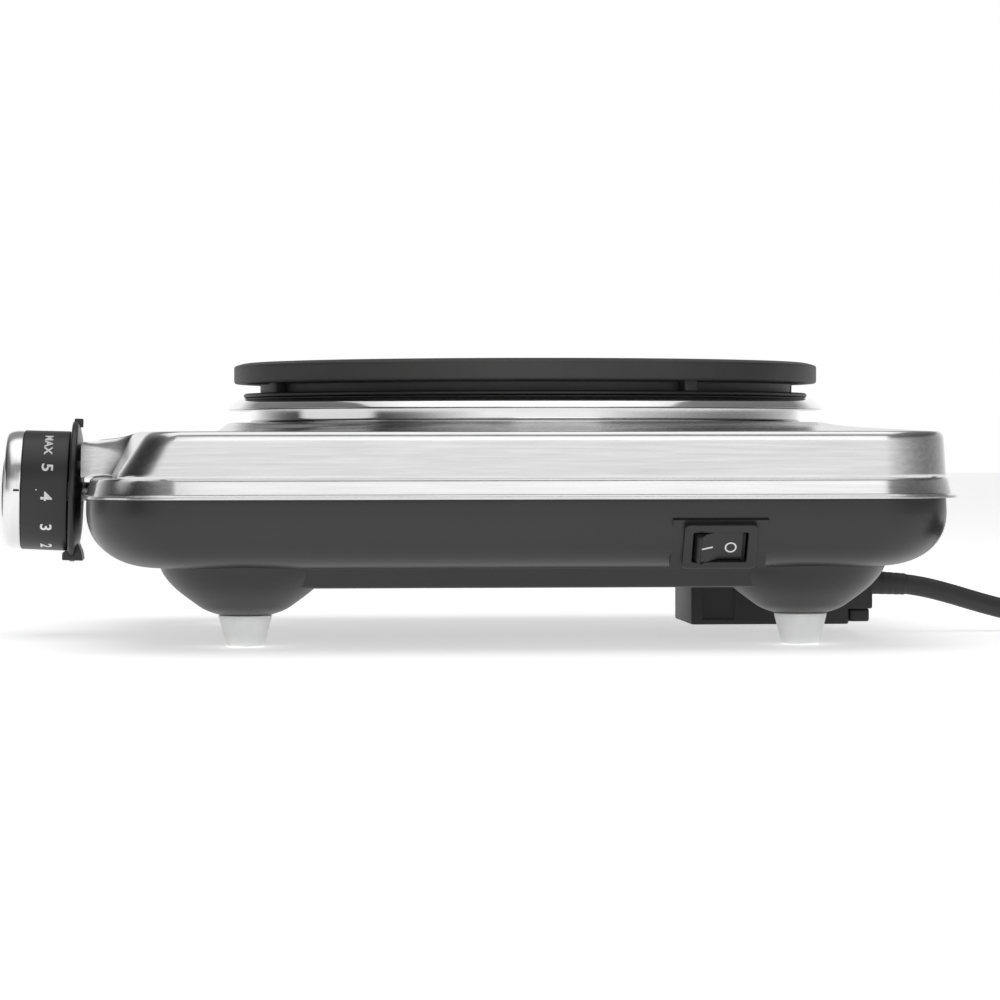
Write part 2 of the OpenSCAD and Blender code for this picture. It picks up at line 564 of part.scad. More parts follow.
// ---- cord housing ----
box_t = 2;
step_y = flange_y1 - tub_in - platform_in - 0.5;
module box_shape(t) {
    w = cord_box_w / 2 - t;
    translate([-w, box_y0 + t, box_z0 + t]) cube([2 * w, cord_box_l - 2 * t, platform_z - 0.1 - box_z0 - t + (t > 0 ? 1 : 0)]);
    translate([-w, step_y + 1 + t, box_z0 + t]) cube([2 * w, box_y1 - step_y - 1 - 2 * t, crease_z - 0.4 - box_z0 - 2 * t]);
}
clamp_l = 7.6;
clamp_h = 4.6;
module cord_box() color("#2a2a2a") difference() {
    box_shape(0);
    box_shape(box_t);
    on_exit() translate([0, 0, -20]) cylinder(r = relief_r0 + 0.02, h = 60);
    translate([-cord_box_w, box_y1 - clamp_l, box_z0 - 1]) cube([2 * cord_box_w, clamp_l + 1, clamp_h + 1 + fit_clear]);
    for (s = [-1, 1]) translate([s * (cord_box_w / 2 - 7), box_y0 + 10, box_z0 - 1]) cylinder(r = screw_r + fit_clear, h = 8);
}
module cord_box_screws() color("#b8b8b8") for (s = [-1, 1])
    translate([s * (cord_box_w / 2 - 7), box_y0 + 10, box_z0 + box_t]) {
        cylinder(r = 3, h = 1.8);
        cylinder(r = screw_r, h = platform_z - box_z0 - box_t - 0.2);
    }
module cord_clamp() color("#242424") difference() {
    translate([-cord_box_w / 2 + 4, box_y1 - clamp_l + fit_clear, box_z0 + 0.6])
        cube([cord_box_w - 8, clamp_l - fit_clear - 0.4, clamp_h - 0.6]);
    for (s = [-1, 1]) translate([s * 12, box_y1 - clamp_l / 2, box_z0 - 1]) cylinder(r = 1.5, h = 10);
}
module clamp_screws() color("#b8b8b8") for (s = [-1, 1])
    translate([s * 12, box_y1 - clamp_l / 2, box_z0 + 1]) cylinder(r = 1.5, h = clamp_h - 1);
relief_r0 = cord_d / 2 + 1;
relief_r1 = cord_d / 2 + 0.25;
module strain_relief() color("#1f1f1f") on_exit() rotate_extrude() polygon([
    [0, 0], [relief_r0, 0], [relief_r0, relief_l / 2 - box_t], [relief_r0, relief_l / 2 + 0.2],
    [relief_r0 - 0.35, relief_l / 2 + 0.8], [relief_r1, relief_l - 0.5], [relief_r1 - 0.2, relief_l], [0, relief_l]]);

// ---- cord, coil and plug ----
// Route of the cord from the strain relief to the coil
lead_route = [[0, 144.5, 15.1], [0, 148, 14.6], [0, 152, 13.8], [0, 156, 12.8], [0, 161, 11.4], [0, 166, 9.9],
    [0, 172, 8.2], [0, 178, 6.7], [0, 185, 5.2], [0, 193, 4], [0, 202, 3.3], [0, 216, 3.3], [0, 230, 3.5],
    [0, 238, 3.7]];
// Route of the cord from the coil to the plug
tail_route = [[-32, 205.7, 10.3], [-24, 205.6, 10.4], [-14, 205.2, 10.6], [-4, 204.6, 10.6], [4, 204, 10.2],
    [12, 203.1, 9], [20, 202, 7.1], [27, 200.9, 5.7], [34, 199.8, 5.2]];
coil_x = -39.2;
coil_y = 245;
coil_mid_r = 36;
coil_z0 = 0.6;
module cord_lead() color("#2f2f2f") route_tube(lead_route, cord_d / 2, 8);
module cord_tail() color("#2f2f2f") route_tube(tail_route, cord_d / 2, 8);
module coil_section(grow) {
    translate([coil_mid_r - cord_d - grow, coil_z0 - min(grow, coil_z0)])
        square([2 * cord_d + 2 * grow, 2 * cord_d + grow + min(grow, coil_z0)]);
}
module cord_coil() color("#2f2f2f") translate([coil_x, coil_y, 0]) rotate_extrude() coil_section(0);
tie_turn = 13;
module coil_tie() color("#151515") translate([coil_x, coil_y, 0]) rotate([0, 0, 128])
    rotate_extrude(angle = tie_turn) difference() { coil_section(0.9); coil_section(0.02); }

plug_at = [34, 199.8, 5.2];
plug_heading = -98;
plug_pitch = 17;
plug_r = 18.5;
plug_l = 57;
plug_pin_r = 2.38;
plug_pin_l = 19;
plug_shank_r = 1.9;
plug_shank_l = 12;
plug_pin_gap = 19;
pin_seat = 0.02;
module on_plug() { translate(plug_at) rotate([0, 0, plug_heading + 90]) rotate([0, 90 - plug_pitch, 0]) children(); }
module plug_body() color("#222222") on_plug() difference() {
    rotate_extrude() polygon([[0, 0], [cord_d / 2 + 0.3, 0], [cord_d / 2 + 1.6, 15], [7.5, 16.5], [8.6, 19],
        [10, 30], [13.5, 37], [plug_r - 1, 42], [plug_r, 43], [plug_r, plug_l - 1], [plug_r - 0.8, plug_l],
        [0, plug_l]]);
    for (s = [-1, 1]) translate([0, s * plug_pin_gap / 2, plug_l - plug_shank_l - pin_seat])
        cylinder(r = plug_shank_r + pin_seat, h = 2 * plug_shank_l);
}
module plug_pins() color("#d2d2d2") on_plug() for (s = [-1, 1]) translate([0, s * plug_pin_gap / 2, plug_l])
    rotate_extrude() polygon([[0, -plug_shank_l], [plug_shank_r, -plug_shank_l], [plug_shank_r, pin_seat],
        [plug_pin_r, pin_seat], [plug_pin_r, plug_pin_l - 1.2], [plug_pin_r - 0.9, plug_pin_l], [0, plug_pin_l]]);

hotplate();
ceramic_filler();
heating_coils();
heat_shield();
element_pins();
pin_insulators();
plate_stud();
support_bridge();
stud_washer();
stud_nut();
spacer_disc();
trim_ring();
cover();
cover_posts();
base_tub();
foot_front_right();
foot_front_left();
foot_rear_right();
foot_rear_left();
foot_screws();
bezel();
bezel_screws();
dial_ring();
dial_cap();
dial_badge();
dial_clip();
thermostat_shaft();
thermostat_body();
thermostat_bracket();
thermostat_tabs();
switch_frame();
switch_rocker();
switch_tabs();
terminal_block();
terminal_screws();
earth_bolt();
inner_leads();
cord_box();
cord_box_screws();
cord_clamp();
clamp_screws();
strain_relief();
cord_lead();
cord_coil();
cord_tail();
coil_tie();
plug_body();
plug_pins();
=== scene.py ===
import json
import math

import bmesh
import bpy
import numpy as np
from mathutils import Matrix, Vector


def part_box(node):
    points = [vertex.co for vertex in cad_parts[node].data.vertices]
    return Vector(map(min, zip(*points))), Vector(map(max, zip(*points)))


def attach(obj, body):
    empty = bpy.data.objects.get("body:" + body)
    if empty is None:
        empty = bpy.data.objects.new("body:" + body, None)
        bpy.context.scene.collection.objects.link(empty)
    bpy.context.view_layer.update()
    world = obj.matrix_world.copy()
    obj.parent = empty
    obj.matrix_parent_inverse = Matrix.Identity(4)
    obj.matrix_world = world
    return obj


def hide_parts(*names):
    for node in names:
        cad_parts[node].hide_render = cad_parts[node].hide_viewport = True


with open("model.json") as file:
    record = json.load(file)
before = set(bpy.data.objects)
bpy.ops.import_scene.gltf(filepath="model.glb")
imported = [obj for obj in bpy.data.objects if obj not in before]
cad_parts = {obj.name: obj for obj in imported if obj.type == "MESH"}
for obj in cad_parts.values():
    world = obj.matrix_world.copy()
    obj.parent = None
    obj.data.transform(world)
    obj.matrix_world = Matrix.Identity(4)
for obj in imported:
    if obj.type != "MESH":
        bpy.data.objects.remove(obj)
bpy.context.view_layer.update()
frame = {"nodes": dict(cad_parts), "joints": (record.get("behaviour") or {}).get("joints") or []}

mm = 0.001
nodes = frame["nodes"]


def inMm(node):
    lo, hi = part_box(node)
    return np.array(lo) * 1000, np.array(hi) * 1000


# places taken from the frame, in millimetres
plateLo, plateHi = inMm("hotplate")
ringLo, ringHi = inMm("trim_ring")
coverLo, coverHi = inMm("cover")
tubLo, tubHi = inMm("base_tub")
discLo, discHi = inMm("spacer_disc")
plateY = (plateLo[1] + plateHi[1]) / 2
plateR = (plateHi[0] - plateLo[0]) / 2
lipR = (ringHi[0] - ringLo[0]) / 2
islandZ = coverHi[2]
flangeZ = coverLo[2]
halfW = coverHi[0]
frontY, rearY = coverLo[1], coverHi[1]
deckZ = islandZ - 3
stepZ = flangeZ + 5.9
creaseZ = flangeZ - 20.5
platformZ = creaseZ - 6.2
bossZ = tubLo[2]
joints = {j["name"]: j for j in frame["joints"]}


def jointFrame(name, outward, side):
    # an upright set of axes at a joint: side, up and outward, as a 4 by 4 matrix
    z = Vector(outward).normalized()
    x = Vector(side).normalized()
    y = z.cross(x)
    m = Matrix((x, y, z)).transposed().to_4x4()
    m.translation = Vector(joints[name]["pos_m"]) * 1000
    return np.array(m)


dialFrame = jointFrame("dial_turn", -Vector(joints["dial_turn"]["axis"]), (1, 0, 0))
rockerAxis = Vector(joints["rocker_tip"]["axis"])
switchFrame = jointFrame("rocker_tip", rockerAxis.cross(Vector((0, 1, 0))), rockerAxis)
plateFrame = np.array(Matrix.Translation((0, plateY, 0)))


# camera and light
camera = {"x": 1200.0, "aheadOfPlate": 97.0, "z": 61.0, "lens": 135.9,
          "yaw": 4.24, "pitch": -0.886, "roll": 0.06}


def setCamera():
    c = camera
    data = bpy.data.cameras.new("camera")
    data.sensor_width = 36
    data.lens = c["lens"]
    data.clip_end = 50
    data.clip_start = 0.01
    cam = bpy.data.objects.new("camera", data)
    bpy.context.scene.collection.objects.link(cam)
    yaw, pitch, roll = (math.radians(c[k]) for k in ("yaw", "pitch", "roll"))
    look = Matrix.Rotation(math.radians(90) - yaw, 4, "Z")
    tilt = Matrix.Rotation(math.radians(90) + pitch, 4, "X")
    turn = Matrix.Rotation(-roll, 4, "Z")
    place = Matrix.Translation(Vector((c["x"], plateY - c["aheadOfPlate"], c["z"])) * mm)
    cam.matrix_world = place @ look @ tilt @ turn
    bpy.context.scene.camera = cam
    return cam


setCamera()
print("camera set")


# mesh helpers
def gridQuads(rows, cols, closeRows=False, closeCols=True):
    # one quad between each four neighbouring points of a rows by cols grid
    r = np.arange(rows if closeRows else rows - 1)[:, None]
    c = np.arange(cols if closeCols else cols - 1)[None, :]
    r1, c1 = (r + 1) % rows, (c + 1) % cols
    return np.stack([r * cols + c, r * cols + c1, r1 * cols + c1, r1 * cols + c], -1).reshape(-1, 4)


def addPiece(name, points, quads, material, body="housing", slot=None, replaces=(),
             sharp=35, weld=False, place=None, uv=None):
    # points in millimetres, moved by a 4 by 4 matrix if one is given
    pts = np.asarray(points, float).reshape(-1, 3)
    if place is not None:
        pts = pts @ place[:3, :3].T + place[:3, 3]
    mesh = bpy.data.meshes.new(name)
    mesh.vertices.add(len(pts))
    mesh.vertices.foreach_set("co", (pts * mm).astype(np.float32).ravel())
    size = quads.shape[1]
    mesh.loops.add(quads.size)
    mesh.loops.foreach_set("vertex_index", quads.astype(np.int32).ravel())
    mesh.polygons.add(len(quads))
    mesh.polygons.foreach_set("loop_start", np.arange(0, quads.size, size, dtype=np.int32))
    mesh.polygons.foreach_set("loop_total", np.full(len(quads), size, np.int32))
    mesh.update(calc_edges=True)
    if uv is not None:
        layer = mesh.uv_layers.new(name="surface")
        layer.data.foreach_set("uv", np.asarray(uv, np.float32)[quads.ravel()].ravel())
    mesh.validate()
    if weld:
        bm = bmesh.new()
        bm.from_mesh(mesh)
        bmesh.ops.remove_doubles(bm, verts=bm.verts, dist=1e-7)
        bmesh.ops.dissolve_degenerate(bm, edges=bm.edges, dist=1e-8)
        bmesh.ops.recalc_face_normals(bm, faces=bm.faces)
        bm.to_mesh(mesh)
        bm.free()
    mesh.shade_smooth()
    mesh.set_sharp_from_angle(angle=math.radians(sharp))
    piece = bpy.data.objects.new(name, mesh)
    bpy.context.scene.collection.objects.link(piece)
    mesh.materials.append(material)
    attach(piece, body)
    if replaces:
        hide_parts(*replaces)
    return piece


def rounded(corners, radii, steps=6):
    # a path through corner points, each corner replaced by a curve that starts and ends
    # a radius away along its two sides; any number of values per point
    pts = np.asarray(corners, float)
    radii = np.broadcast_to(radii, len(pts))
    t = np.linspace(0, 1, steps + 1)[:, None]
    out = [pts[:1]]
    for a, b, c, r in zip(pts[:-2], pts[1:-1], pts[2:], radii[1:-1]):
        la, lc = np.linalg.norm((a - b)[-2:]), np.linalg.norm((c - b)[-2:])
        if r <= 0 or min(la, lc) < 1e-9:
            out.append(b[None])
            continue
        p0 = b + (a - b) * min(r / la, 0.49)
        p2 = b + (c - b) * min(r / lc, 0.49)
        out.append((1 - t) ** 2 * p0 + 2 * t * (1 - t) * b + t ** 2 * p2)
    return np.vstack(out + [pts[-1:]])


def lathe(name, profile, material, turns=128, place=plateFrame, closed=True, **more):
    # each profile point (r, z) goes round the axis at every angle: (r cos a, r sin a, z)
    p = np.asarray(profile, float)
    a = np.linspace(0, 2 * math.pi, turns, endpoint=False)
    points = np.stack([p[:, :1] * np.cos(a), p[:, :1] * np.sin(a), np.repeat(p[:, 1:2], turns, 1)], -1)
    quads = gridQuads(len(p), turns, closeRows=closed)
    return addPiece(name, points, quads, material, weld=True, place=place, **more)


def tube(name, path, radius, material, sides=16, **more):
    # a circle carried along the path, square to it, with a frame that never twists
    p = np.asarray(path, float)
    t = np.gradient(p, axis=0)
    t /= np.linalg.norm(t, axis=1)[:, None]
    up = np.tile([0.0, 0.0, 1.0], (len(p), 1))
    u = np.cross(t, up)
    u /= np.linalg.norm(u, axis=1)[:, None]
    v = np.cross(u, t)
    a = np.linspace(0, 2 * math.pi, sides, endpoint=False)
    r = np.broadcast_to(radius, len(p))[:, None, None]
    ring = p[:, None] + r * (u[:, None] * np.cos(a)[None, :, None] + v[:, None] * np.sin(a)[None, :, None])
    points = np.concatenate([np.repeat(p[:1, None], sides, 1), ring, np.repeat(p[-1:, None], sides, 1)])
    along = np.concatenate([[0], np.cumsum(np.linalg.norm(np.diff(p, axis=0), axis=1))])
    along = np.concatenate([along[:1], along, along[-1:]])
    uv = np.stack([np.broadcast_to(along[:, None], points.shape[:2]) / 10,
                   np.broadcast_to(a / (2 * math.pi), points.shape[:2])], -1).reshape(-1, 2)
    return addPiece(name, points, gridQuads(len(points), sides), material, weld=True, uv=uv, **more)


def roundedBlock(hx, hy, radius, profile, arc=5):
    # rings round a rounded rectangle, each moved in and set at its height by the profile (inset, z)
    p = np.asarray(profile, float)
    a = np.radians(np.concatenate([np.linspace(q, q + 90, arc) for q in (0, 90, 180, 270)]))
    sx = np.repeat([1, -1, -1, 1], arc)
    sy = np.repeat([1, 1, -1, -1], arc)
    r = np.maximum(radius - p[:, :1], 0.02)
    x = sx * np.maximum(hx - p[:, :1] - r, 0) + r * np.cos(a)
    y = sy * np.maximum(hy - p[:, :1] - r, 0) + r * np.sin(a)
    return np.stack([x, y, np.repeat(p[:, 1:2], len(a), 1)], -1)


def solidBlock(hx, hy, radius, profile):
    rings = roundedBlock(hx, hy, radius, profile)
    ends = [np.repeat(r.mean(0)[None, None], rings.shape[1], 1) for r in (rings[0], rings[-1])]
    return np.concatenate([ends[0], rings, ends[1]])


# materials
def newMaterial(name, colour, roughness, metallic=0.0, **sockets):
    mat = bpy.data.materials.new(name)
    mat.use_nodes = True
    tree = mat.node_tree
    shader = tree.nodes["Principled BSDF"]
    shader.inputs["Base Color"].default_value = (*colour, 1)
    shader.inputs["Roughness"].default_value = roughness
    shader.inputs["Metallic"].default_value = metallic
    for key, value in sockets.items():
        shader.inputs[key.replace("_", " ")].default_value = value
    return mat, tree, shader


def node(tree, kind, **settings):
    n = tree.nodes.new(kind)
    for key, value in settings.items():
        if key in n.inputs:
            n.inputs[key].default_value = value
        else:
            setattr(n, key, value)
    return n


def objectPlace(tree, scale=(1, 1, 1), turn=(0, 0, 0), shift=(0, 0, 0), source="Object"):
    coords = tree.nodes.new("ShaderNodeTexCoord")
    mapping = tree.nodes.new("ShaderNodeMapping")
    mapping.inputs["Location"].default_value = shift
    mapping.inputs["Rotation"].default_value = turn
    mapping.inputs["Scale"].default_value = scale
    tree.links.new(coords.outputs[source], mapping.inputs["Vector"])
    return mapping.outputs["Vector"]


def noise(tree, vector, scale, detail=4, rough=0.55):
    n = node(tree, "ShaderNodeTexNoise", Scale=scale, Detail=detail, Roughness=rough)
    tree.links.new(vector, n.inputs["Vector"])
    return n.outputs["Fac"]


def ramp(tree, factor, stops):
    n = tree.nodes.new("ShaderNodeValToRGB")
    n.color_ramp.elements[0].position, n.color_ramp.elements[0].color = stops[0][0], (*stops[0][1], 1)
    n.color_ramp.elements[1].position, n.color_ramp.elements[1].color = stops[-1][0], (*stops[-1][1], 1)
    for at, colour in stops[1:-1]:
        n.color_ramp.elements.new(at).color = (*colour, 1)
    tree.links.new(factor, n.inputs["Fac"])
    return n.outputs["Color"]


def spread(tree, factor, low, high):
    n = tree.nodes.new("ShaderNodeMapRange")
    n.inputs["To Min"].default_value = low
    n.inputs["To Max"].default_value = high
    tree.links.new(factor, n.inputs["Value"])
    return n.outputs["Result"]


def bump(tree, shader, height, strength, distance, socket="Normal"):
    n = node(tree, "ShaderNodeBump", Strength=strength, Distance=distance)
    tree.links.new(height, n.inputs["Height"])
    tree.links.new(n.outputs["Normal"], shader.inputs[socket])
    return n


def grey(v):
    return (v, v, v)


def brushedMaterial(name, tone, low, high, scale=(60, 2, 60), depth=0.25):
    # long thin streaks: noise squeezed across the brushing and stretched along it
    mat, tree, shader = newMaterial(name, grey(tone), (low + high) / 2, 1.0)
    streaks = noise(tree, objectPlace(tree, scale), 18, 6, 0.6)
    clouds = noise(tree, objectPlace(tree), 9, 3)
    tree.links.new(ramp(tree, streaks, [(0.3, grey(tone * 0.9)), (0.7, grey(min(1, tone * 1.06)))]),
                   shader.inputs["Base Color"])
    mix = node(tree, "ShaderNodeMath", operation="MULTIPLY")
    tree.links.new(spread(tree, streaks, low, high), mix.inputs[0])
    tree.links.new(spread(tree, clouds, 0.85, 1.15), mix.inputs[1])
    tree.links.new(mix.outputs[0], shader.inputs["Roughness"])
    bump(tree, shader, streaks, depth, 0.00002)
    return mat


def mouldedMaterial(name, tone, roughness, grain=900, depth=0.25, distance=0.00006, **sockets):
    # fine moulded grain, with slow drifts of tone and of roughness
    mat, tree, shader = newMaterial(name, grey(tone), roughness, **sockets)
    place = objectPlace(tree)
    fine, slow = noise(tree, place, grain, 3), noise(tree, place, 14, 3)
    tree.links.new(ramp(tree, slow, [(0.3, grey(tone * 0.82)), (0.7, grey(tone * 1.2))]),
                   shader.inputs["Base Color"])
    tree.links.new(spread(tree, slow, roughness * 0.88, roughness * 1.12), shader.inputs["Roughness"])
    bump(tree, shader, fine, depth, distance)
    return mat


def castMaterial():
    # turned top: fine rings about the plate's axis over a grainy cast surface
    mat, tree, shader = newMaterial("castIron", grey(0.05), 0.5, 0.35)
    place = objectPlace(tree, shift=(0, -plateY * mm, 0))
    rings = node(tree, "ShaderNodeTexWave", wave_type="RINGS", rings_direction="Z", Scale=420,
                 Distortion=0.4, Detail=1)
    tree.links.new(place, rings.inputs["Vector"])
    grain, slow = noise(tree, place, 700, 5, 0.65), noise(tree, place, 22, 4)
    tree.links.new(ramp(tree, slow, [(0.3, grey(0.042)), (0.55, grey(0.055)),
                                     (0.75, (0.064, 0.062, 0.06))]),
                   shader.inputs["Base Color"])
    tree.links.new(spread(tree, grain, 0.42, 0.6), shader.inputs["Roughness"])
    mix = node(tree, "ShaderNodeMath", operation="MULTIPLY_ADD")
    mix.inputs[1].default_value = 0.35
    tree.links.new(rings.outputs["Fac"], mix.inputs[0])
    tree.links.new(grain, mix.inputs[2])
    bump(tree, shader, mix.outputs[0], 0.3, 0.00008)
    return mat


def tintedMaterial(name, colour, roughness, metallic=0.0):
    # speckled tone round one colour, for the pieces inside
    mat, tree, shader = newMaterial(name, colour, roughness, metallic)
    place = objectPlace(tree)
    speck = noise(tree, place, 260, 4)
    dark, light = (tuple(min(1, c * k) for c in colour) for k in (0.8, 1.18))
    tree.links.new(ramp(tree, speck, [(0.3, dark), (0.7, light)]), shader.inputs["Base Color"])
    tree.links.new(spread(tree, speck, roughness * 0.85, roughness * 1.15), shader.inputs["Roughness"])
    bump(tree, shader, speck, 0.2, 0.00005)
    return mat


def wovenMaterial():
    # crossed ribs of a woven strap
    mat, tree, shader = newMaterial("wovenStrap", grey(0.02), 0.85, Sheen_Weight=0.2)
    rib = node(tree, "ShaderNodeTexWave", bands_direction="Z", Scale=900, Distortion=0.6)
    tree.links.new(objectPlace(tree), rib.inputs["Vector"])
    fine = noise(tree, objectPlace(tree), 1800, 2)
    mix = node(tree, "ShaderNodeMath", operation="MULTIPLY")
    tree.links.new(rib.outputs["Fac"], mix.inputs[0])
    tree.links.new(fine, mix.inputs[1])
    tree.links.new(ramp(tree, mix.outputs[0], [(0.1, grey(0.012)), (0.6, grey(0.035))]),
                   shader.inputs["Base Color"])
    bump(tree, shader, mix.outputs[0], 0.5, 0.0001)
    return mat


def siliconeMaterial():
    mat, tree, shader = newMaterial("siliconeWhite", (0.86, 0.87, 0.87), 0.42,
                                    Subsurface_Weight=0.55, Subsurface_Scale=0.004)
    shader.inputs["Subsurface Radius"].default_value = (1.0, 0.95, 0.9)
    place = objectPlace(tree)
    haze = noise(tree, place, 160, 3)
    tree.links.new(ramp(tree, haze, [(0.3, (0.8, 0.81, 0.81)), (0.7, (0.89, 0.89, 0.88))]),
                   shader.inputs["Base Color"])
    tree.links.new(spread(tree, haze, 0.36, 0.5), shader.inputs["Roughness"])
    bump(tree, shader, noise(tree, place, 900, 2), 0.12, 0.00004)
    return mat


def cordMaterial():
    # faint lengthwise drag lines along the sheath, from its own map
    mat, tree, shader = newMaterial("cordSheath", grey(0.028), 0.5)
    place = objectPlace(tree, scale=(0.4, 40, 1), source="UV")
    drag = noise(tree, place, 6, 4)
    fine = noise(tree, objectPlace(tree), 1100, 2)
    tree.links.new(ramp(tree, drag, [(0.3, grey(0.022)), (0.7, grey(0.036))]), shader.inputs["Base Color"])
    tree.links.new(spread(tree, drag, 0.42, 0.6), shader.inputs["Roughness"])
    bump(tree, shader, fine, 0.2, 0.00004)
    return mat


mats = {
    "cast": castMaterial(),
    "cover": brushedMaterial("brushedCover", 0.72, 0.14, 0.24, depth=0.07),
    "polished": brushedMaterial("polishedRing", 0.86, 0.06, 0.12, scale=(1, 1, 8), depth=0.06),
    "chrome": brushedMaterial("satinChrome", 0.84, 0.14, 0.24, scale=(3, 30, 3), depth=0.12),
    "zinc": brushedMaterial("zincPlate", 0.62, 0.3, 0.5, scale=(8, 8, 3)),
    "brass": brushedMaterial("brass", 0.6, 0.25, 0.4),
    "tub": mouldedMaterial("satinBlack", 0.021, 0.3, grain=1300, depth=0.12),
    "disc": mouldedMaterial("blackEnamel", 0.018, 0.45),
    "dial": mouldedMaterial("dialBlack", 0.02, 0.4, grain=1500, depth=0.12),
    "gloss": mouldedMaterial("glossBlack", 0.012, 0.16, grain=300, depth=0.03),
    "switch": mouldedMaterial("switchBlack", 0.018, 0.32, grain=1600, depth=0.15),
    "box": mouldedMaterial("boxBlack", 0.016, 0.5, grain=800, depth=0.35),
    "plug": mouldedMaterial("plugBlack", 0.02, 0.46, grain=700, depth=0.35),
    "silicone": siliconeMaterial(),
    "sheath": cordMaterial(),
    "print": mouldedMaterial("printWhite", 0.78, 0.5, grain=2500, depth=0.1),
    "ceramic": mouldedMaterial("ceramic", 0.62, 0.7, grain=500, depth=0.4),
    "nylon": mouldedMaterial("nylon", 0.7, 0.42),
    "wire": tintedMaterial("wireSkin", (0.33, 0.14, 0.05), 0.45),
    "phenolic": tintedMaterial("phenolic", (0.62, 0.52, 0.36), 0.5),
    "wireCoil": tintedMaterial("resistanceWire", (0.3, 0.26, 0.24), 0.5, 0.9),
    "nickel": brushedMaterial("nickelPin", 0.72, 0.18, 0.3, scale=(6, 6, 6), depth=0.08),
    "tie": wovenMaterial(),
}
print("materials made")


# cord, its coil and what is on it
cord = {
    "diameter": 6.4,
    "lead": [(0, 144.5, 15.1), (0, 148, 14.6), (0, 152, 13.8), (0, 156, 12.8), (0, 161, 11.4),
             (0, 166, 9.9),
             (0, 172, 8.2), (0, 178, 6.7), (0, 185, 5.2), (0, 193, 4), (0, 202, 3.3), (0, 216, 3.3),
             (0, 230, 3.5),
             (0, 238, 3.7)],
    "tail": [(-32, 205.7, 10.3), (-24, 205.6, 10.4), (-14, 205.2, 10.6), (-4, 204.6, 10.6), (4, 204, 10.2),
             (12, 203.1, 9), (20, 202, 7.1), (27, 200.9, 5.7), (34, 199.8, 5.2)],
    "coilCentre": (-39.2, 245), "outerTurn": 39.2, "innerTurn": 32.8, "low": 3.9, "high": 10.2,
    "turns": 3.75, "perTurn": 40,
}


def coilTurns():
    # the angle grows steadily; radius and height step from one turn to the next over a
    # third of a turn: outer low, inner low, inner high, outer high
    n = int(cord["turns"] * cord["perTurn"])
    turn = np.linspace(0, cord["turns"], n + 1)[1:-1]
    ease = lambda at: np.clip((turn - at) / 0.3 + 0.5, 0, 1)
    soft = lambda x: x * x * (3 - 2 * x)
    out, low = cord["outerTurn"], cord["low"]
    r = out - (out - cord["innerTurn"]) * (soft(ease(1)) - soft(ease(3)))
    z = low + (cord["high"] - low) * soft(ease(2))
    a = 2 * math.pi * turn
    cx, cy = cord["coilCentre"]
    return np.stack([cx + r * np.cos(a), cy + r * np.sin(a), z], 1)


def smoothPath(points, step=2.5):
    # a Catmull-Rom curve through the points, at an even spacing
    p = np.asarray(points, float)
    q = np.vstack([2 * p[0] - p[1], p, 2 * p[-1] - p[-2]])
    t = np.linspace(0, 1, 13)[:-1, None, None]
    a, b, c, d = q[:-3], q[1:-2], q[2:-1], q[3:]
    fine = 0.5 * (2 * b + (c - a) * t + (2 * a - 5 * b + 4 * c - d) * t ** 2
                  + (3 * b - a - 3 * c + d) * t ** 3)
    fine = np.vstack([fine.transpose(1, 0, 2).reshape(-1, 3), p[-1:]])
    s = np.concatenate([[0], np.cumsum(np.linalg.norm(np.diff(fine, axis=0), axis=1))])
    even = np.linspace(0, s[-1], int(s[-1] / step) + 1)
    return np.stack([np.interp(even, s, fine[:, i]) for i in range(3)], 1), s[-1]


def makeCord():
    path, length = smoothPath(np.vstack([cord["lead"], coilTurns(), cord["tail"]]))
    piece = tube("mainsCord", path, cord["diameter"] / 2, mats["sheath"], sides=20,
                 slot="cord_rubber", replaces=("cord_lead", "cord_coil", "cord_tail"))
    print("cord of", round(length), "mm")
    return piece, path, length


mainsCord, cordPath, cordLength = makeCord()


# steel cover
cover = {
    "sheet": 0.8, "frontCorner": 26, "rearCorner": 28, "bow": 7,
    "wallIn": 9.4, "wallSideIn": 3.4, "upperIn": 15.6, "upperSideIn": 4.3,
    "islandR": 94.5, "islandFootR": 97.5, "holeR": 85.6,
    "noseHalf": 38, "noseTop": 61.0, "noseFace": 0.17,
}


def flangeAt(i):
    c = cover
    return [frontY + i, rearY - i, halfW - i, c["frontCorner"] - i, c["rearCorner"] - i, c["bow"]]


def wallAt(i):
    c = cover
    return [frontY + c["wallIn"] + i, rearY - c["wallSideIn"] - i, halfW - c["wallSideIn"] - i, 12,
            24 - i, 4.5]


def upperAt(i):
    c = cover
    return [frontY + c["upperIn"] + i, rearY - c["upperSideIn"] - i, halfW - c["upperSideIn"] - i, 9.5,
            23 - i, 7.5]


def tubAt(i):
    return [frontY + 1.5 + i, rearY - 3.1 - i, halfW - 3.1 - i, 24 - 0.6 * i, 25 - 0.6 * i, 5.5]


noseEdge = np.arange(32, 41.1, 0.6)
frontX = np.concatenate([[-50, -45], -noseEdge[::-1], np.linspace(-28, 28, 9), noseEdge, [45, 50]])


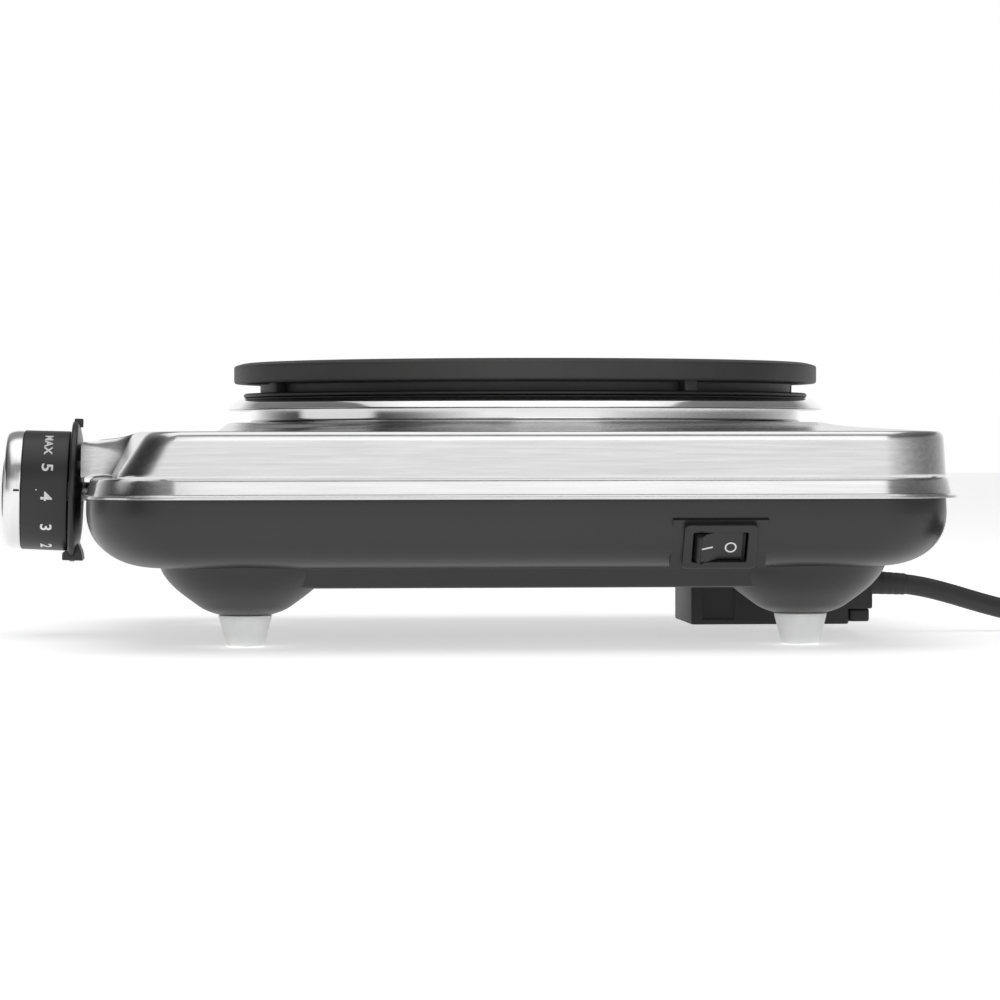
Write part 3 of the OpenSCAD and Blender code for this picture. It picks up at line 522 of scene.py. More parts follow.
def outline(stations):
    # each station is a rounded rectangle (front, rear, half width, two corner radii) whose
    # front edge is pushed back towards its ends by bow times the share of the width squared
    y0, y1, hw, rf, rr, bow = (np.asarray(stations, float)[:, i:i + 1] for i in range(6))
    run = lambda a, b, n: a + (b - a) * np.linspace(0, 1, n, endpoint=False)[None]
    turn = lambda a, n: np.radians(a + 90 * np.linspace(0, 1, n, endpoint=False))[None]
    flat = lambda v, n: np.repeat(v, n, 1)
    mid = np.repeat(frontX[None], len(y0), 0)
    f, r, s = 14, 16, 22
    x = np.concatenate([
        run(rf - hw, mid[:, :1], 5), mid, run(mid[:, -1:], hw - rf, 6)[:, 1:],
        hw - rf + rf * np.cos(turn(-90, f)), flat(hw, s), hw - rr + rr * np.cos(turn(0, r)),
        run(hw - rr, rr - hw, s), rr - hw + rr * np.cos(turn(90, r)), flat(-hw, s),
        rf - hw + rf * np.cos(turn(180, f))], 1)
    y = np.concatenate([
        flat(y0, 5 + mid.shape[1] + 5), y0 + rf + rf * np.sin(turn(-90, f)), run(y0 + rf, y1 - rr, s),
        y1 - rr + rr * np.sin(turn(0, r)), flat(y1, s), y1 - rr + rr * np.sin(turn(90, r)),
        run(y1 - rr, y0 + rf, s), y0 + rf + rf * np.sin(turn(180, f))], 1)
    y = y + bow * (x / hw) ** 2 * np.maximum(0, 1 - (y - y0) / 70)
    return x, y


def skinPoints(stations):
    # columns: the six outline values, share of circle, circle radius, rearward lift, size, height;
    # a point is the mix of the outline's and the circle's point in the same direction
    p = np.asarray(stations, float)
    x, y = outline(p[:, :6])
    rx, ry = outline([upperAt(3.2)])
    a = np.arctan2(ry - plateY, rx)
    w, r = p[:, 6:7], p[:, 7:8]
    x = x * (1 - w) + r * np.cos(a) * w
    y = y * (1 - w) + (plateY + r * np.sin(a)) * w
    back = np.clip((np.sin(a) + 0.75) / 0.5, 0, 1)
    return np.stack([x, y, p[:, 10:11] + p[:, 8:9] * back], -1)


def station(ring, z, circle=0, radius=0, lift=0):
    size = radius if circle else ring[2]
    return [*ring, circle, radius, lift, size, z]


def evenly(path, n):
    p = np.asarray(path, float)
    s = np.concatenate([[0], np.cumsum(np.linalg.norm(np.diff(p[:, -2:], axis=0), axis=1))])
    at = np.linspace(0, s[-1], n)
    return np.stack([np.interp(at, s, p[:, i]) for i in range(p.shape[1])], 1)


def sheetNormals(points):
    # across the rows and round the columns of a grid whose columns close on themselves
    across = np.gradient(points, axis=0)
    around = np.roll(points, -1, 1) - np.roll(points, 1, 1)
    n = np.cross(around, across)
    return n / np.maximum(np.linalg.norm(n, axis=-1, keepdims=True), 1e-9)


def closeSheet(outer, thickness):
    # a second skin one thickness inside the first, joined to it at both edges
    inner = outer - sheetNormals(outer) * thickness
    points = np.concatenate([outer, inner[::-1]])
    return points, gridQuads(len(points), points.shape[1], closeRows=True)


def makeCover():
    c = cover
    low = rounded([
        station(flangeAt(0), flangeZ), station(flangeAt(0), flangeZ + 0.75),
        station(flangeAt(1.6), flangeZ + 0.85),
        station(flangeAt(2.8), stepZ), station(wallAt(0.2), stepZ)], [0, 0.3, 0.7, 1.0, 0], 5)
    wall = rounded([
        station(wallAt(0.2), stepZ), station(wallAt(0), stepZ + 0.7), station(upperAt(0.0), deckZ),
        station(upperAt(3.6), deckZ + 0.05)], [0, 0.5, 3.0, 0], 7)
    wall = evenly(wall, 40)
    deck = rounded([
        station(upperAt(3.6), deckZ + 0.05, 0, c["islandFootR"]),
        station(upperAt(3.2), deckZ + 0.2, 1, c["islandFootR"], islandZ - deckZ - 0.9),
        station(upperAt(3.2), islandZ, 1, c["islandR"]),
        station(upperAt(3.2), islandZ, 1, c["holeR"])], [0, 1.6, 1.4, 0], 6)
    deck = np.vstack([evenly(deck[:2], 6)[:-1], deck[1:]])
    lowPts, wallPts, deckPts = skinPoints(low), skinPoints(wall), skinPoints(deck)
    edge = c["noseHalf"] - 1
    middle = len(frontX) // 2 + 5
    end = wallPts[-1, middle]
    profile = rounded([
        [0, lowPts[-6, middle, 1], stepZ], [0, frontY + c["noseFace"] + 0.2, stepZ - 0.3],
        [0, frontY + c["noseFace"] + 0.4, c["noseTop"]], [0, end[1] - 5.5, c["noseTop"] + 1.5],
        [0, end[1] - 0.6, end[2] - 0.1],
        [0, end[1], end[2]]], [0, 0.4, 1.6, 2.2, 1.0, 0], 8)
    nose = evenly(profile, len(wall))
    x = wallPts[..., 0]
    share = np.clip((edge + 0.5 - np.abs(x)) / 3.2, 0, 1) * (wallPts[..., 1] < frontY + 40)
    share = share * share * (3 - 2 * share)
    wallPts[..., 1] += share * (nose[:, 1:2] - wallPts[..., 1])
    wallPts[..., 2] += share * (nose[:, 2:3] - wallPts[..., 2])
    points, quads = closeSheet(np.concatenate([lowPts[:-1], wallPts, deckPts[1:]]), c["sheet"])
    addPiece("steelCover", points, quads, mats["cover"], slot="brushed_cover", replaces=("cover",),
             sharp=28)
    print("cover made")


makeCover()


# cast-iron plate and the ring under it
plate = {"dishR": 21, "dishInR": 17, "dish": 2.5, "skirtR": 84.2, "skirtT": 2.0,
         "grooves": 26, "grooveDepth": 0.12}


def makePlate():
    p = plate
    top, low = plateHi[2], plateLo[2]
    under = top - 6.6
    r = np.linspace(p["dishR"] + 1.5, plateR - 6, 26 * 12)
    wave = (r - r[0]) / (r[-1] - r[0]) * p["grooves"] * 2 * math.pi
    turned = np.stack([r, top - p["grooveDepth"] * (0.5 - 0.5 * np.cos(wave)) ** 3], 1)
    inner = rounded([[0, top - p["dish"]], [p["dishInR"], top - p["dish"]], [p["dishR"], top],
                     [p["dishR"] + 1.5, top]], [0, 2.0, 1.4, 0], 8)
    edge = rounded([[plateR - 6, top], [plateR - 3.2, top - 0.05], [plateR, top - 1.0],
                    [plateR, under + 0.2],
                    [plateR - 1.6, under], [p["skirtR"], under], [p["skirtR"], low],
                    [p["skirtR"] - p["skirtT"], low], [p["skirtR"] - p["skirtT"], under + 1.5],
                    [0, under + 1.5]],
                   [0, 1.2, 0.7, 0.9, 0.5, 0.8, 0.5, 0.5, 0.8, 0], 6)
    lathe("castPlate", np.vstack([inner[:-1], turned, edge[1:]]), mats["cast"], turns=256, closed=False,
          slot="cast_iron", replaces=("hotplate",))


lugs = {"angles": (-67, 30, 98, 205), "out": 2.1, "half": 2.3, "corner": 0.7}


def makeLugs():
    # four small cast blocks on the skirt, standing in the gap over the disc
    g = lugs
    low, high = discHi[2], plateHi[2] - 6.1
    block = solidBlock(g["out"], g["half"], g["corner"],
                       rounded([[0, low], [0, high]], [0, 0], 2)).reshape(-1, 3)
    turns = [np.array(Matrix.Rotation(math.radians(a), 3, "Z")) for a in g["angles"]]
    lugBlocks = [(block + [plate["skirtR"] - 0.5 + g["out"], 0, 0]) @ t.T + [0, plateY, 0] for t in turns]
    quads = gridQuads(4, len(block) // 4)
    addPiece("plateLugs", np.vstack(lugBlocks), np.vstack([quads + i * len(block) for i in range(4)]),
             mats["cast"], slot="cast_iron", weld=True)


trim = {"lipR": lipR, "neckR": 87.3, "inR": 84.6, "sheet": 0.8}


def makeTrimRing():
    t = trim
    zLow, zTop = islandZ, ringHi[2]
    lip = zLow + 3.8
    outer = rounded([[t["neckR"] - 0.8, zLow], [t["neckR"] + 0.7, zLow + 0.02], [t["neckR"], zLow + 0.8],
                     [t["neckR"], lip + 1.5], [t["lipR"] - 3.6, lip + 0.8], [t["lipR"] - 0.7, lip],
                     [t["lipR"], lip + 0.4], [t["lipR"] - 2.4, lip + 3.1], [t["lipR"] - 5.4, zTop - 0.05],
                     [t["inR"], zTop], [t["inR"], zTop - 0.8], [t["neckR"] - 0.8, zTop - 1.4]],
                    [0, 0.1, 0.5, 0.8, 1.2, 0.3, 0.25, 1.8, 1.2, 0.2, 0.2, 0.3], 8)
    lathe("trimRing", outer, mats["polished"], turns=256, slot="polished_steel", replaces=("trim_ring",))


makePlate()
makeLugs()
makeTrimRing()
print("plate and ring made")


# black tub
tub = {"tuck": 20, "curve": 2.25, "platformIn": 21.5, "lean": 5, "wall": 2.2, "bossX": 72,
       "bossFrontY": plateY - 89.6, "bossRearY": plateY + 77.4, "ventLong": 32, "ventWide": 3,
       "ventStep": 8,
       "pocketLong": 26, "pocketWide": 17, "openLong": 19.2, "openWide": 13.0}


def cutter(centre, sizes, place=None):
    # a closed box, only used to cut another piece
    x, y, z = (np.array([-0.5, 0.5]) * s + c for s, c in zip(sizes, centre))
    corners = np.array(np.meshgrid(x, y, z, indexing="ij")).reshape(3, -1).T
    if place is not None:
        corners = corners @ place[:3, :3].T + place[:3, 3]
    faces = [(0, 1, 3, 2), (4, 6, 7, 5), (0, 4, 5, 1), (2, 3, 7, 6), (0, 2, 6, 4), (1, 5, 7, 3)]
    return corners, np.array(faces)


def looseMesh(name, blocks):
    # several closed blocks of points and quads in one mesh, in metres
    offset = np.cumsum([0] + [len(p) for p, _ in blocks[:-1]])
    points = np.vstack([p for p, _ in blocks])
    quads = np.vstack([q + o for (_, q), o in zip(blocks, offset)])
    mesh = bpy.data.meshes.new(name)
    mesh.from_pydata((points * mm).tolist(), [], quads.tolist())
    bm = bmesh.new()
    bm.from_mesh(mesh)
    bmesh.ops.remove_doubles(bm, verts=bm.verts, dist=1e-7)
    bmesh.ops.dissolve_degenerate(bm, edges=bm.edges, dist=1e-8)
    bmesh.ops.recalc_face_normals(bm, faces=bm.faces)
    bm.to_mesh(mesh)
    bm.free()
    obj = bpy.data.objects.new(name, mesh)
    bpy.context.scene.collection.objects.link(obj)
    return obj


def combine(piece, tools, sharp=35):
    # joins or cuts the piece with each tool in turn, then drops the tools
    for tool, how in tools:
        mod = piece.modifiers.new("cut", "BOOLEAN")
        mod.operation = how
        mod.solver = "EXACT"
        mod.object = tool
        deps = bpy.context.evaluated_depsgraph_get()
        result = bpy.data.meshes.new_from_object(piece.evaluated_get(deps))
        piece.modifiers.clear()
        old = piece.data
        piece.data = result
        bpy.data.meshes.remove(old)
        bpy.data.objects.remove(tool)
    piece.data.shade_smooth()
    piece.data.set_sharp_from_angle(angle=math.radians(sharp))


def turnedBlock(profile, turns, centre):
    p = np.asarray(profile, float)
    a = np.linspace(0, 2 * math.pi, turns, endpoint=False)
    points = np.stack([p[:, :1] * np.cos(a) + centre[0], p[:, :1] * np.sin(a) + centre[1],
                       np.repeat(p[:, 1:2], turns, 1)], -1)
    return points.reshape(-1, 3), gridQuads(len(p), turns)


def makeTub():
    t = tub
    u = np.sin(np.linspace(math.pi / 2, 0, 22))
    tuck = t["tuck"] * (1 - (1 - u ** t["curve"]) ** (1 / t["curve"]))
    curved = [station(tubAt(i), creaseZ + (flangeZ - creaseZ - 4) * (1 - v)) for i, v in zip(tuck, u)]
    low = rounded([station(tubAt(t["platformIn"] + 12), platformZ),
                   station(tubAt(t["platformIn"] + t["lean"]), platformZ),
                   station(tubAt(t["platformIn"]), creaseZ - 0.2), curved[0]], [0, 1.1, 0.3, 0], 5)
    rim = [station(tubAt(0.1), flangeZ - 1.2), station(tubAt(0.2), flangeZ - 0.15),
           station(flangeAt(3.9), flangeZ - 0.1), station(flangeAt(4.2), stepZ - 1.6)]
    thick = t["wall"]
    lining = [station(flangeAt(4.2 + thick), stepZ - 1.6), station(flangeAt(4.4 + thick), flangeZ - 1)]
    lining += [station(tubAt(i + thick * 1.2), creaseZ + (flangeZ - creaseZ - 4) * (1 - v) + thick * 0.75)
               for i, v in zip(tuck[::-1], u[::-1])]
    lining += [station(tubAt(t["platformIn"] + thick * 1.2), creaseZ + thick * 0.4),
               station(tubAt(t["platformIn"] + t["lean"] + thick), platformZ + thick)]
    skin = skinPoints(np.vstack([low, curved[1:], rim, lining]))
    centre = lambda z: np.repeat(np.array([[[0, plateY - 12.1, z]]]), skin.shape[1], 1)
    points = np.concatenate([centre(platformZ), skin, centre(platformZ + thick)])
    quads = gridQuads(len(points), points.shape[1])
    piece = addPiece("blackTub", points, quads, mats["tub"], slot="base_black", replaces=("base_tub",),
                     weld=True)
    dome = rounded([[0, bossZ], [7.6, bossZ], [12.2, bossZ + 1.5], [15.5, bossZ + 3.9], [18.8, bossZ + 6.3],
                    [21.6, bossZ + 8.7], [24.2, creaseZ - 2.6], [25.5, creaseZ + 0.1],
                    [25.5, creaseZ + 0.6],
                    [0, creaseZ + 0.6]], [0, 1.2, 3, 3, 3, 3, 2, 0.5, 0.1, 0], 5)
    spots = [(sx * t["bossX"], y) for sx in (-1, 1) for y in (t["bossFrontY"], t["bossRearY"])]
    domes = looseMesh("domes", [turnedBlock(dome, 72, at) for at in spots])
    pocket = looseMesh("pocket", [cutter((0, 0, 7), (t["pocketWide"], t["pocketLong"], 12),
                                         switchSeat),
                                  cutter((0, 0, -1), (t["openWide"], t["openLong"], 20), switchSeat)])
    backing = looseMesh("backing", [cutter((0, 0, -1.7),
                                           (t["pocketWide"] - 0.4, t["pocketLong"] + 2, 3.4), switchSeat)])
    vents = looseMesh("vents", [cutter((s * 34, plateY - 48.5 + i * t["ventStep"], platformZ + 1),
                                       (t["ventLong"], t["ventWide"], 8)) for i in range(-3, 4)
                                       for s in (-1, 1)])
    combine(piece, [(domes, "UNION"), (backing, "UNION"), (pocket, "DIFFERENCE"), (vents, "DIFFERENCE")])
    print("tub made,", len(piece.data.polygons), "faces")


switchSeat = switchFrame.copy()
switchSeat[:3, 3] = switchFrame[:3, 3] + switchFrame[:3, 2] * 1.0
makeTub()


# silicone feet
foot = {"topR": 8.0, "lowR": 5.75, "bore": 3.9, "boreDepth": 4.4}


def makeFeet():
    f = foot
    h = bossZ
    profile = rounded([[0, f["boreDepth"]], [f["bore"], f["boreDepth"]], [f["bore"], 0],
                       [f["lowR"] - 0.3, 0],
                       [f["lowR"] + 0.1, 0.8], [f["topR"] - 0.25, h - 1.2],
                       [f["topR"], h - 0.05], [0, h - 0.05]], [0, 0.6, 0.3, 0.9, 0.5, 1.5, 0.3, 0], 6)
    for side, x in (("right", 1), ("left", -1)):
        for end, y in (("front", tub["bossFrontY"]), ("rear", tub["bossRearY"])):
            place = np.array(Matrix.Translation((x * tub["bossX"], y, 0)))
            lathe(f"foot{end.title()}{side.title()}", profile, mats["silicone"], turns=64, place=place,
                  closed=False,
                  slot="silicone_white", replaces=(f"foot_{end}_{side}",))


makeFeet()
print("feet made")


# dial, its cap and bezel
dial = {"r": 18.9, "taper": 0.15, "gap": 0.5, "ring": 14.3, "cap": 5.6, "badgeR": 9.85, "badgeProud": 1.1,
        "scale": {"MAX": 38, "5": 67, "4": 95, "3": 127, "2": 156, "1": 186}, "textSize": 4.9,
        "bezelR": 22.25, "bezelT": 3.7}


def dialR(z):
    return dial["r"] - dial["taper"] * (z - dial["gap"]) / dial["ring"]


def aroundDial(u, v, w, angle, z):
    # flat (u, v) laid on the ring: u turns clockwise from the top, v runs towards the body, w is outwards
    a = math.radians(angle) + u / dial["r"]
    r = dialR(z - v) + w
    return np.stack([r * np.sin(a), r * np.cos(a), z - v], -1)


def dialMark(name, angle, z0, z1, width, proud, material, slot, body="dial", replaces=()):
    # a small bent slab: a closed grid of four edge rows bent round the ring
    u = np.linspace(-width / 2, width / 2, 5)
    rows = [(z0, proud), (z1, proud), (z1, -0.3), (z0, -0.3)]
    grid = np.stack([aroundDial(u, 0 * u, w, angle, z) for z, w in rows])
    first, last = grid[:, :1].mean(0, keepdims=True), grid[:, -1:].mean(0, keepdims=True)
    points = np.concatenate([np.repeat(first, 4, 0), grid, np.repeat(last, 4, 0)], 1)
    quads = gridQuads(4, points.shape[1], closeRows=True, closeCols=False)
    return addPiece(name, points, quads, material, body=body, slot=slot, place=dialFrame, weld=True,
                    replaces=replaces)


def makeDial():
    d = dial
    capZ = d["gap"] + d["ring"]
    end = capZ + d["cap"]
    ring = rounded([[3.1, d["gap"] + 3], [d["r"] - 2, d["gap"] + 3], [d["r"] - 2, d["gap"]],
                    [d["r"], d["gap"]],
                    [d["r"] - d["taper"], capZ], [3.1, capZ]], [0, 0.5, 0.4, 0.35, 0.15, 0], 5)
    lathe("dialRing", ring, mats["dial"], turns=128, place=dialFrame, body="dial", slot="dial_black",
          replaces=("dial_ring",))
    r = d["r"] - d["taper"]
    cap = rounded([[3, capZ + 0.02], [r - 0.5, capZ + 0.02], [r - 0.1, capZ + 0.35],
                   [r - 0.25, end - 2.2], [r - 1.2, end],
                   [d["badgeR"] + 0.1, end + 0.02], [d["badgeR"] + 0.1, end - 1.2], [3, end - 1.2]],
                  [0, 0.2, 0.2, 1.2, 1.4, 0.3, 0.2, 0], 8)
    lathe("dialCap", cap, mats["chrome"], turns=128, place=dialFrame, body="dial", slot="chrome_cap",
          replaces=("dial_cap",))
    badge = rounded([[0, end - 1.2], [d["badgeR"], end - 1.2], [d["badgeR"], end + 0.6],
                     [d["badgeR"] - 1.4, end + d["badgeProud"] - 0.15], [0, end + d["badgeProud"]]],
                    [0, 0.2, 0.5, 0.9, 0], 8)
    lathe("dialBadge", badge, mats["gloss"], turns=96, place=dialFrame, body="dial", closed=False,
          slot="gloss_black", replaces=("dial_badge",))


def makeScale():
    d = dial
    for word, angle in d["scale"].items():
        font = bpy.data.curves.new("mark" + word, "FONT")
        font.body = word
        font.size = d["textSize"] * (0.72 if word == "MAX" else 1.0)
        font.extrude = 0.12
        font.align_x = "CENTER"
        font.offset = 0.09
        font.space_character = 1.08
        source = bpy.data.objects.new("source", font)
        bpy.context.scene.collection.objects.link(source)
        mesh = bpy.data.meshes.new_from_object(source.evaluated_get(bpy.context.evaluated_depsgraph_get()))
        bm = bmesh.new()
        bm.from_mesh(mesh)
        bmesh.ops.remove_doubles(bm, verts=bm.verts, dist=1e-4)
        bmesh.ops.triangulate(bm, faces=bm.faces)
        bm.to_mesh(mesh)
        bm.free()
        flat = np.empty(len(mesh.vertices) * 3)
        mesh.vertices.foreach_get("co", flat)
        flat = flat.reshape(-1, 3)
        v = flat[:, 1] - (flat[:, 1].max() + flat[:, 1].min()) / 2
        bent = aroundDial(flat[:, 0] * 1.2, v, flat[:, 2] - 0.03, angle, 6.9)
        bent = bent @ dialFrame[:3, :3].T + dialFrame[:3, 3]
        mesh.vertices.foreach_set("co", (bent * mm).ravel())
        mesh.update()
        piece = bpy.data.objects.new("scale" + word, mesh)
        bpy.context.scene.collection.objects.link(piece)
        bpy.data.objects.remove(source)
        mesh.materials.clear()
        mesh.materials.append(mats["print"])
        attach(piece, "dial")
    dialMark("ringTick", 90, 10.5, 12.6, 0.7, 0.05, mats["gloss"], "gloss_black")
    dialMark("ringDot", 89, 9.9, 10.3, 0.35, 0.06, mats["print"], "dial_black")
    dialMark("capTick", 90, 15.4, 17.2, 0.7, 0.05, mats["gloss"], "gloss_black")


def makeBezel():
    d = dial
    r, t = d["bezelR"], d["bezelT"]
    disc = rounded([[4.6, -0.1], [17, -0.1], [17.3, -0.6], [19.2, -0.6], [19.5, 0], [r - 0.4, 0],
                    [r, -0.5], [r, 2 - t],
                    [r - 0.5, 1.6 - t], [r - 2.6, 1.1 - t], [r - 6, 0.4 - t], [r - 9, -t], [4.6, -t]],
                   [0, 0.2, 0.2, 0.2, 0.3, 0.4, 0.3, 0.4, 0.4, 0.8, 1, 0.6, 0], 5)
    lathe("bezel", disc, mats["switch"], turns=160, place=dialFrame, slot="dial_black",
          replaces=("bezel",))
    # the chin: four-cornered rings stacked from its flat foot up into the disc
    ring = lambda y, w, back, front: np.array([[-w, y, back], [w, y, back], [w, y, front], [-w, y, front]])
    low = -r + 0.6
    rows = [ring(low, 8.4, -0.8 - t, 1.6), ring(low + 0.3, 8.8, -1 - t, 1.8),
            ring(low + 2.2, 8.8, -0.6 - t, 1.8),
            ring(low + 2.5, 8.8, -0.5 - t, 1.6), ring(low + 2.9, 8.8, -0.4 - t, 0),
            ring(low + 6.5, 7.6, 1.2 - t, -0.5)]
    points = np.stack([np.repeat(rows[0].mean(0)[None], 4, 0), *rows,
                       np.repeat(rows[-1].mean(0)[None], 4, 0)])
    addPiece("bezelChin", points, gridQuads(8, 4), mats["switch"], slot="dial_black", place=dialFrame,
             weld=True)


def makeIndex():
    # a small raised block on top of the bezel that the scale is read against
    r, t = dial["bezelR"], dial["bezelT"]
    block = solidBlock(1.3, (t - 0.9) / 2, 0.4,
                       rounded([[0, r - 2], [0, r + 0.6], [0.5, r + 0.75]], [0, 0.25, 0], 4))
    turn = np.eye(4)
    turn[:3, :3] = [[1, 0, 0], [0, 0, 1], [0, -1, 0]]
    turn[:3, 3] = [0, 0, -0.45 - (t - 0.9) / 2]
    addPiece("bezelIndex", block, gridQuads(len(block), block.shape[1]), mats["gloss"], slot="dial_black",
             place=dialFrame @ turn, weld=True)


makeDial()
makeScale()
makeBezel()
makeIndex()
print("dial made")


# rocker switch
switch = {"wide": 15, "long": 21.4, "thick": 2, "openWide": 10.2, "openLong": 15.9, "depth": 13.5,
          "rockerR": 7.8, "rockerWide": 9.6, "tilt": 10}


def placeOn(frame4, x, y, z, angle):
    # a place on a frame, leaned about its x axis by an angle in degrees
    return frame4 @ np.array(Matrix.Translation((x, y, z)) @ Matrix.Rotation(math.radians(angle), 4, "X"))


def makeSwitch():
    s = switch
    hx, hy, t = s["wide"] / 2, s["long"] / 2, s["thick"]
    wx, wy = hx - s["openWide"] / 2, hy - s["openLong"] / 2
    outer = roundedBlock(hx, hy, 1.2, rounded([[1.2, 0], [0, 0], [0, t - 0.3], [0.5, t], [2.0, t + 0.02]],
                                               [0, 0.05, 0.3, 0.3, 0], 4))
    inner = roundedBlock(hx - wx, hy - wy, 0.5, rounded([[-0.25, t + 0.02], [0, t - 0.25], [0, -s["depth"]],
                                                        [-1.2, -s["depth"]], [-1.2, 0]],
                                                        [0, 0.2, 0.1, 0.1, 0], 4))
    points = np.concatenate([outer, inner])
    addPiece("switchFrame", points, gridQuads(len(points), points.shape[1], closeRows=True), mats["switch"],
             slot="switch_black", place=switchSeat, weld=True, replaces=("switch_frame",))
    tilt = math.radians(s["tilt"])
    a = np.linspace(math.radians(150), math.radians(390), 49)
    r = s["rockerR"] - 0.05
    low = np.stack([r * np.cos(a), r * np.sin(a)], 1)
    y = np.linspace(low[-1, 0], low[0, 0], 25)[1:-1]
    top = np.stack([y, 1.7 + np.sqrt(y ** 2 + 0.3) * math.tan(tilt)], 1)
    edge = np.vstack([low, top])
    edge[:, 1] = np.minimum(edge[:, 1], 4.4)
    inward = edge * 0.94
    half = s["rockerWide"] / 2
    slices = [(edge.mean(0)[None].repeat(len(edge), 0), -half), (inward, -half), (edge, -half + 0.4),
              (edge, half - 0.4), (inward, half), (edge.mean(0)[None].repeat(len(edge), 0), half)]
    points = np.stack([np.column_stack([np.full(len(e), x), e]) for e, x in slices])
    turn = np.eye(4)
    turn[1:3, 1:3] = [[math.cos(tilt), math.sin(tilt)], [-math.sin(tilt), math.cos(tilt)]]
    addPiece("switchRocker", points, gridQuads(6, len(edge)), mats["switch"], body="rocker",
             slot="switch_black",
             place=switchFrame @ turn, weld=True, replaces=("switch_rocker",), sharp=30)
    lean = lambda angle, y, x: placeOn(switchFrame @ turn, x, y, 1.73 + abs(y) * math.tan(tilt), angle)
    mark = rounded([[0, -0.15], [0, 0.04], [0.1, 0.06]], 0)
    bar = solidBlock(0.26, 1.8, 0.2, mark)
    addPiece("markOn", bar, gridQuads(len(bar), bar.shape[1]), mats["print"], body="rocker",
             slot="switch_black",
             place=lean(-s["tilt"], -4.3, 0), weld=True)
    ring = roundedBlock(1.75, 1.75, 1.75, [[0, -0.15], [0, 0.05], [0.45, 0.05], [0.45, -0.15]], arc=12)
    addPiece("markOff", ring, gridQuads(4, ring.shape[1], closeRows=True), mats["print"], body="rocker",
             slot="switch_black", place=lean(s["tilt"], 2.9, 0.7), weld=True)
    print("switch made")


makeSwitch()


# cord box, clamp and strain relief
box = {"clampLong": 7.6, "clampHigh": 4.8, "panelLong": 10, "panelDeep": 0.4, "corner": 1.6, "edge": 0.7}


def slab(y0, y1, z0, z1, half, corner, edge, x=0.0):
    # a block with rounded upright corners and softened edges at both ends
    rings = solidBlock(half, (y1 - y0) / 2, corner,
                       rounded([[edge * 1.6, z0], [0, z0], [0, z1], [edge * 1.6, z1]], [0, edge, edge, 0],
                               4))
    points = rings.reshape(-1, 3) + np.array([x, (y0 + y1) / 2, 0])
    return points, gridQuads(len(rings), rings.shape[1])


def makeCordBox():
    b = box
    lo, hi = inMm("cord_box")
    notch = hi[1] - b["clampLong"]
    raised = max(rearY - 24.1, notch - 3)
    under = platformZ - 0.1
    blocks = [slab(lo[1], notch, lo[2], under, hi[0], b["corner"], b["edge"]),
              slab(lo[1] + 6, hi[1], lo[2] + b["clampHigh"], under, hi[0], b["corner"], b["edge"]),
              slab(raised, hi[1], lo[2] + b["clampHigh"] + 3, hi[2], hi[0], b["corner"], b["edge"])]
    body, quads = blocks[0]
    piece = addPiece("cordBox", body, quads, mats["box"], slot="box_black", replaces=("cord_box",),
                     weld=True)
    tools = [(looseMesh("upper", [blocks[1]]), "UNION"), (looseMesh("raised", [blocks[2]]), "UNION")]
    arch = [slab(lo[1] + 3.5, lo[1] + 3.5 + b["panelLong"], lo[2] + 1.6, under - 2, b["panelDeep"] + 0.4,
                 0.3, 0.3, x)
            for x in (-hi[0] - 0.4, hi[0] + 0.4)]
    seams = [slab(hi[1] - 12 - i * 3.2, hi[1] - 11 - i * 3.2, lo[2] + b["clampHigh"] + 2, hi[2] + 3, 0.7,
                  0.2, 0.1, x)
             for x in (-hi[0] - 0.35, hi[0] + 0.35) for i in range(2)]
    holes = [turnedBlock([[0, lo[2] - 1], [2.6, lo[2] - 1], [2.6, lo[2] + 1.9], [0, lo[2] + 1.9]], 32,
                         (x, lo[1] + 10))
             for x in (-hi[0] + 7, hi[0] - 7)]
    combine(piece, tools + [(looseMesh("cuts", arch + seams + holes), "DIFFERENCE")])
    clo, chi = inMm("cord_clamp")
    body, quads = slab(clo[1], chi[1], clo[2], chi[2], chi[0], 1.4, 0.8)
    clamp = addPiece("cordClamp", body, quads, mats["box"], slot="box_black", replaces=("cord_clamp",),
                     weld=True)
    ribs = [slab(clo[1] - 0.5, chi[1] + 0.5, clo[2] - 1, clo[2] + 0.7, 0.5, 0.2, 0.1, x)
            for x in (-16, -7.5, -4.5, -1.5, 1.5, 4.5, 7.5, 16)]
    wells = [turnedBlock([[0, clo[2] - 1], [1.6, clo[2] - 1], [1.6, clo[2] + 1.2], [0, clo[2] + 1.2]], 24,
                         (x, (clo[1] + chi[1]) / 2)) for x in (-12, 12)]
    combine(clamp, [(looseMesh("clampCuts", ribs + wells), "DIFFERENCE")])


relief = {"long": 28.8, "tilt": 3, "z": 16.6, "rootR": 4.2, "midR": 3.85, "tipR": 3.45, "rings": 5,
          "groove": 0.06}


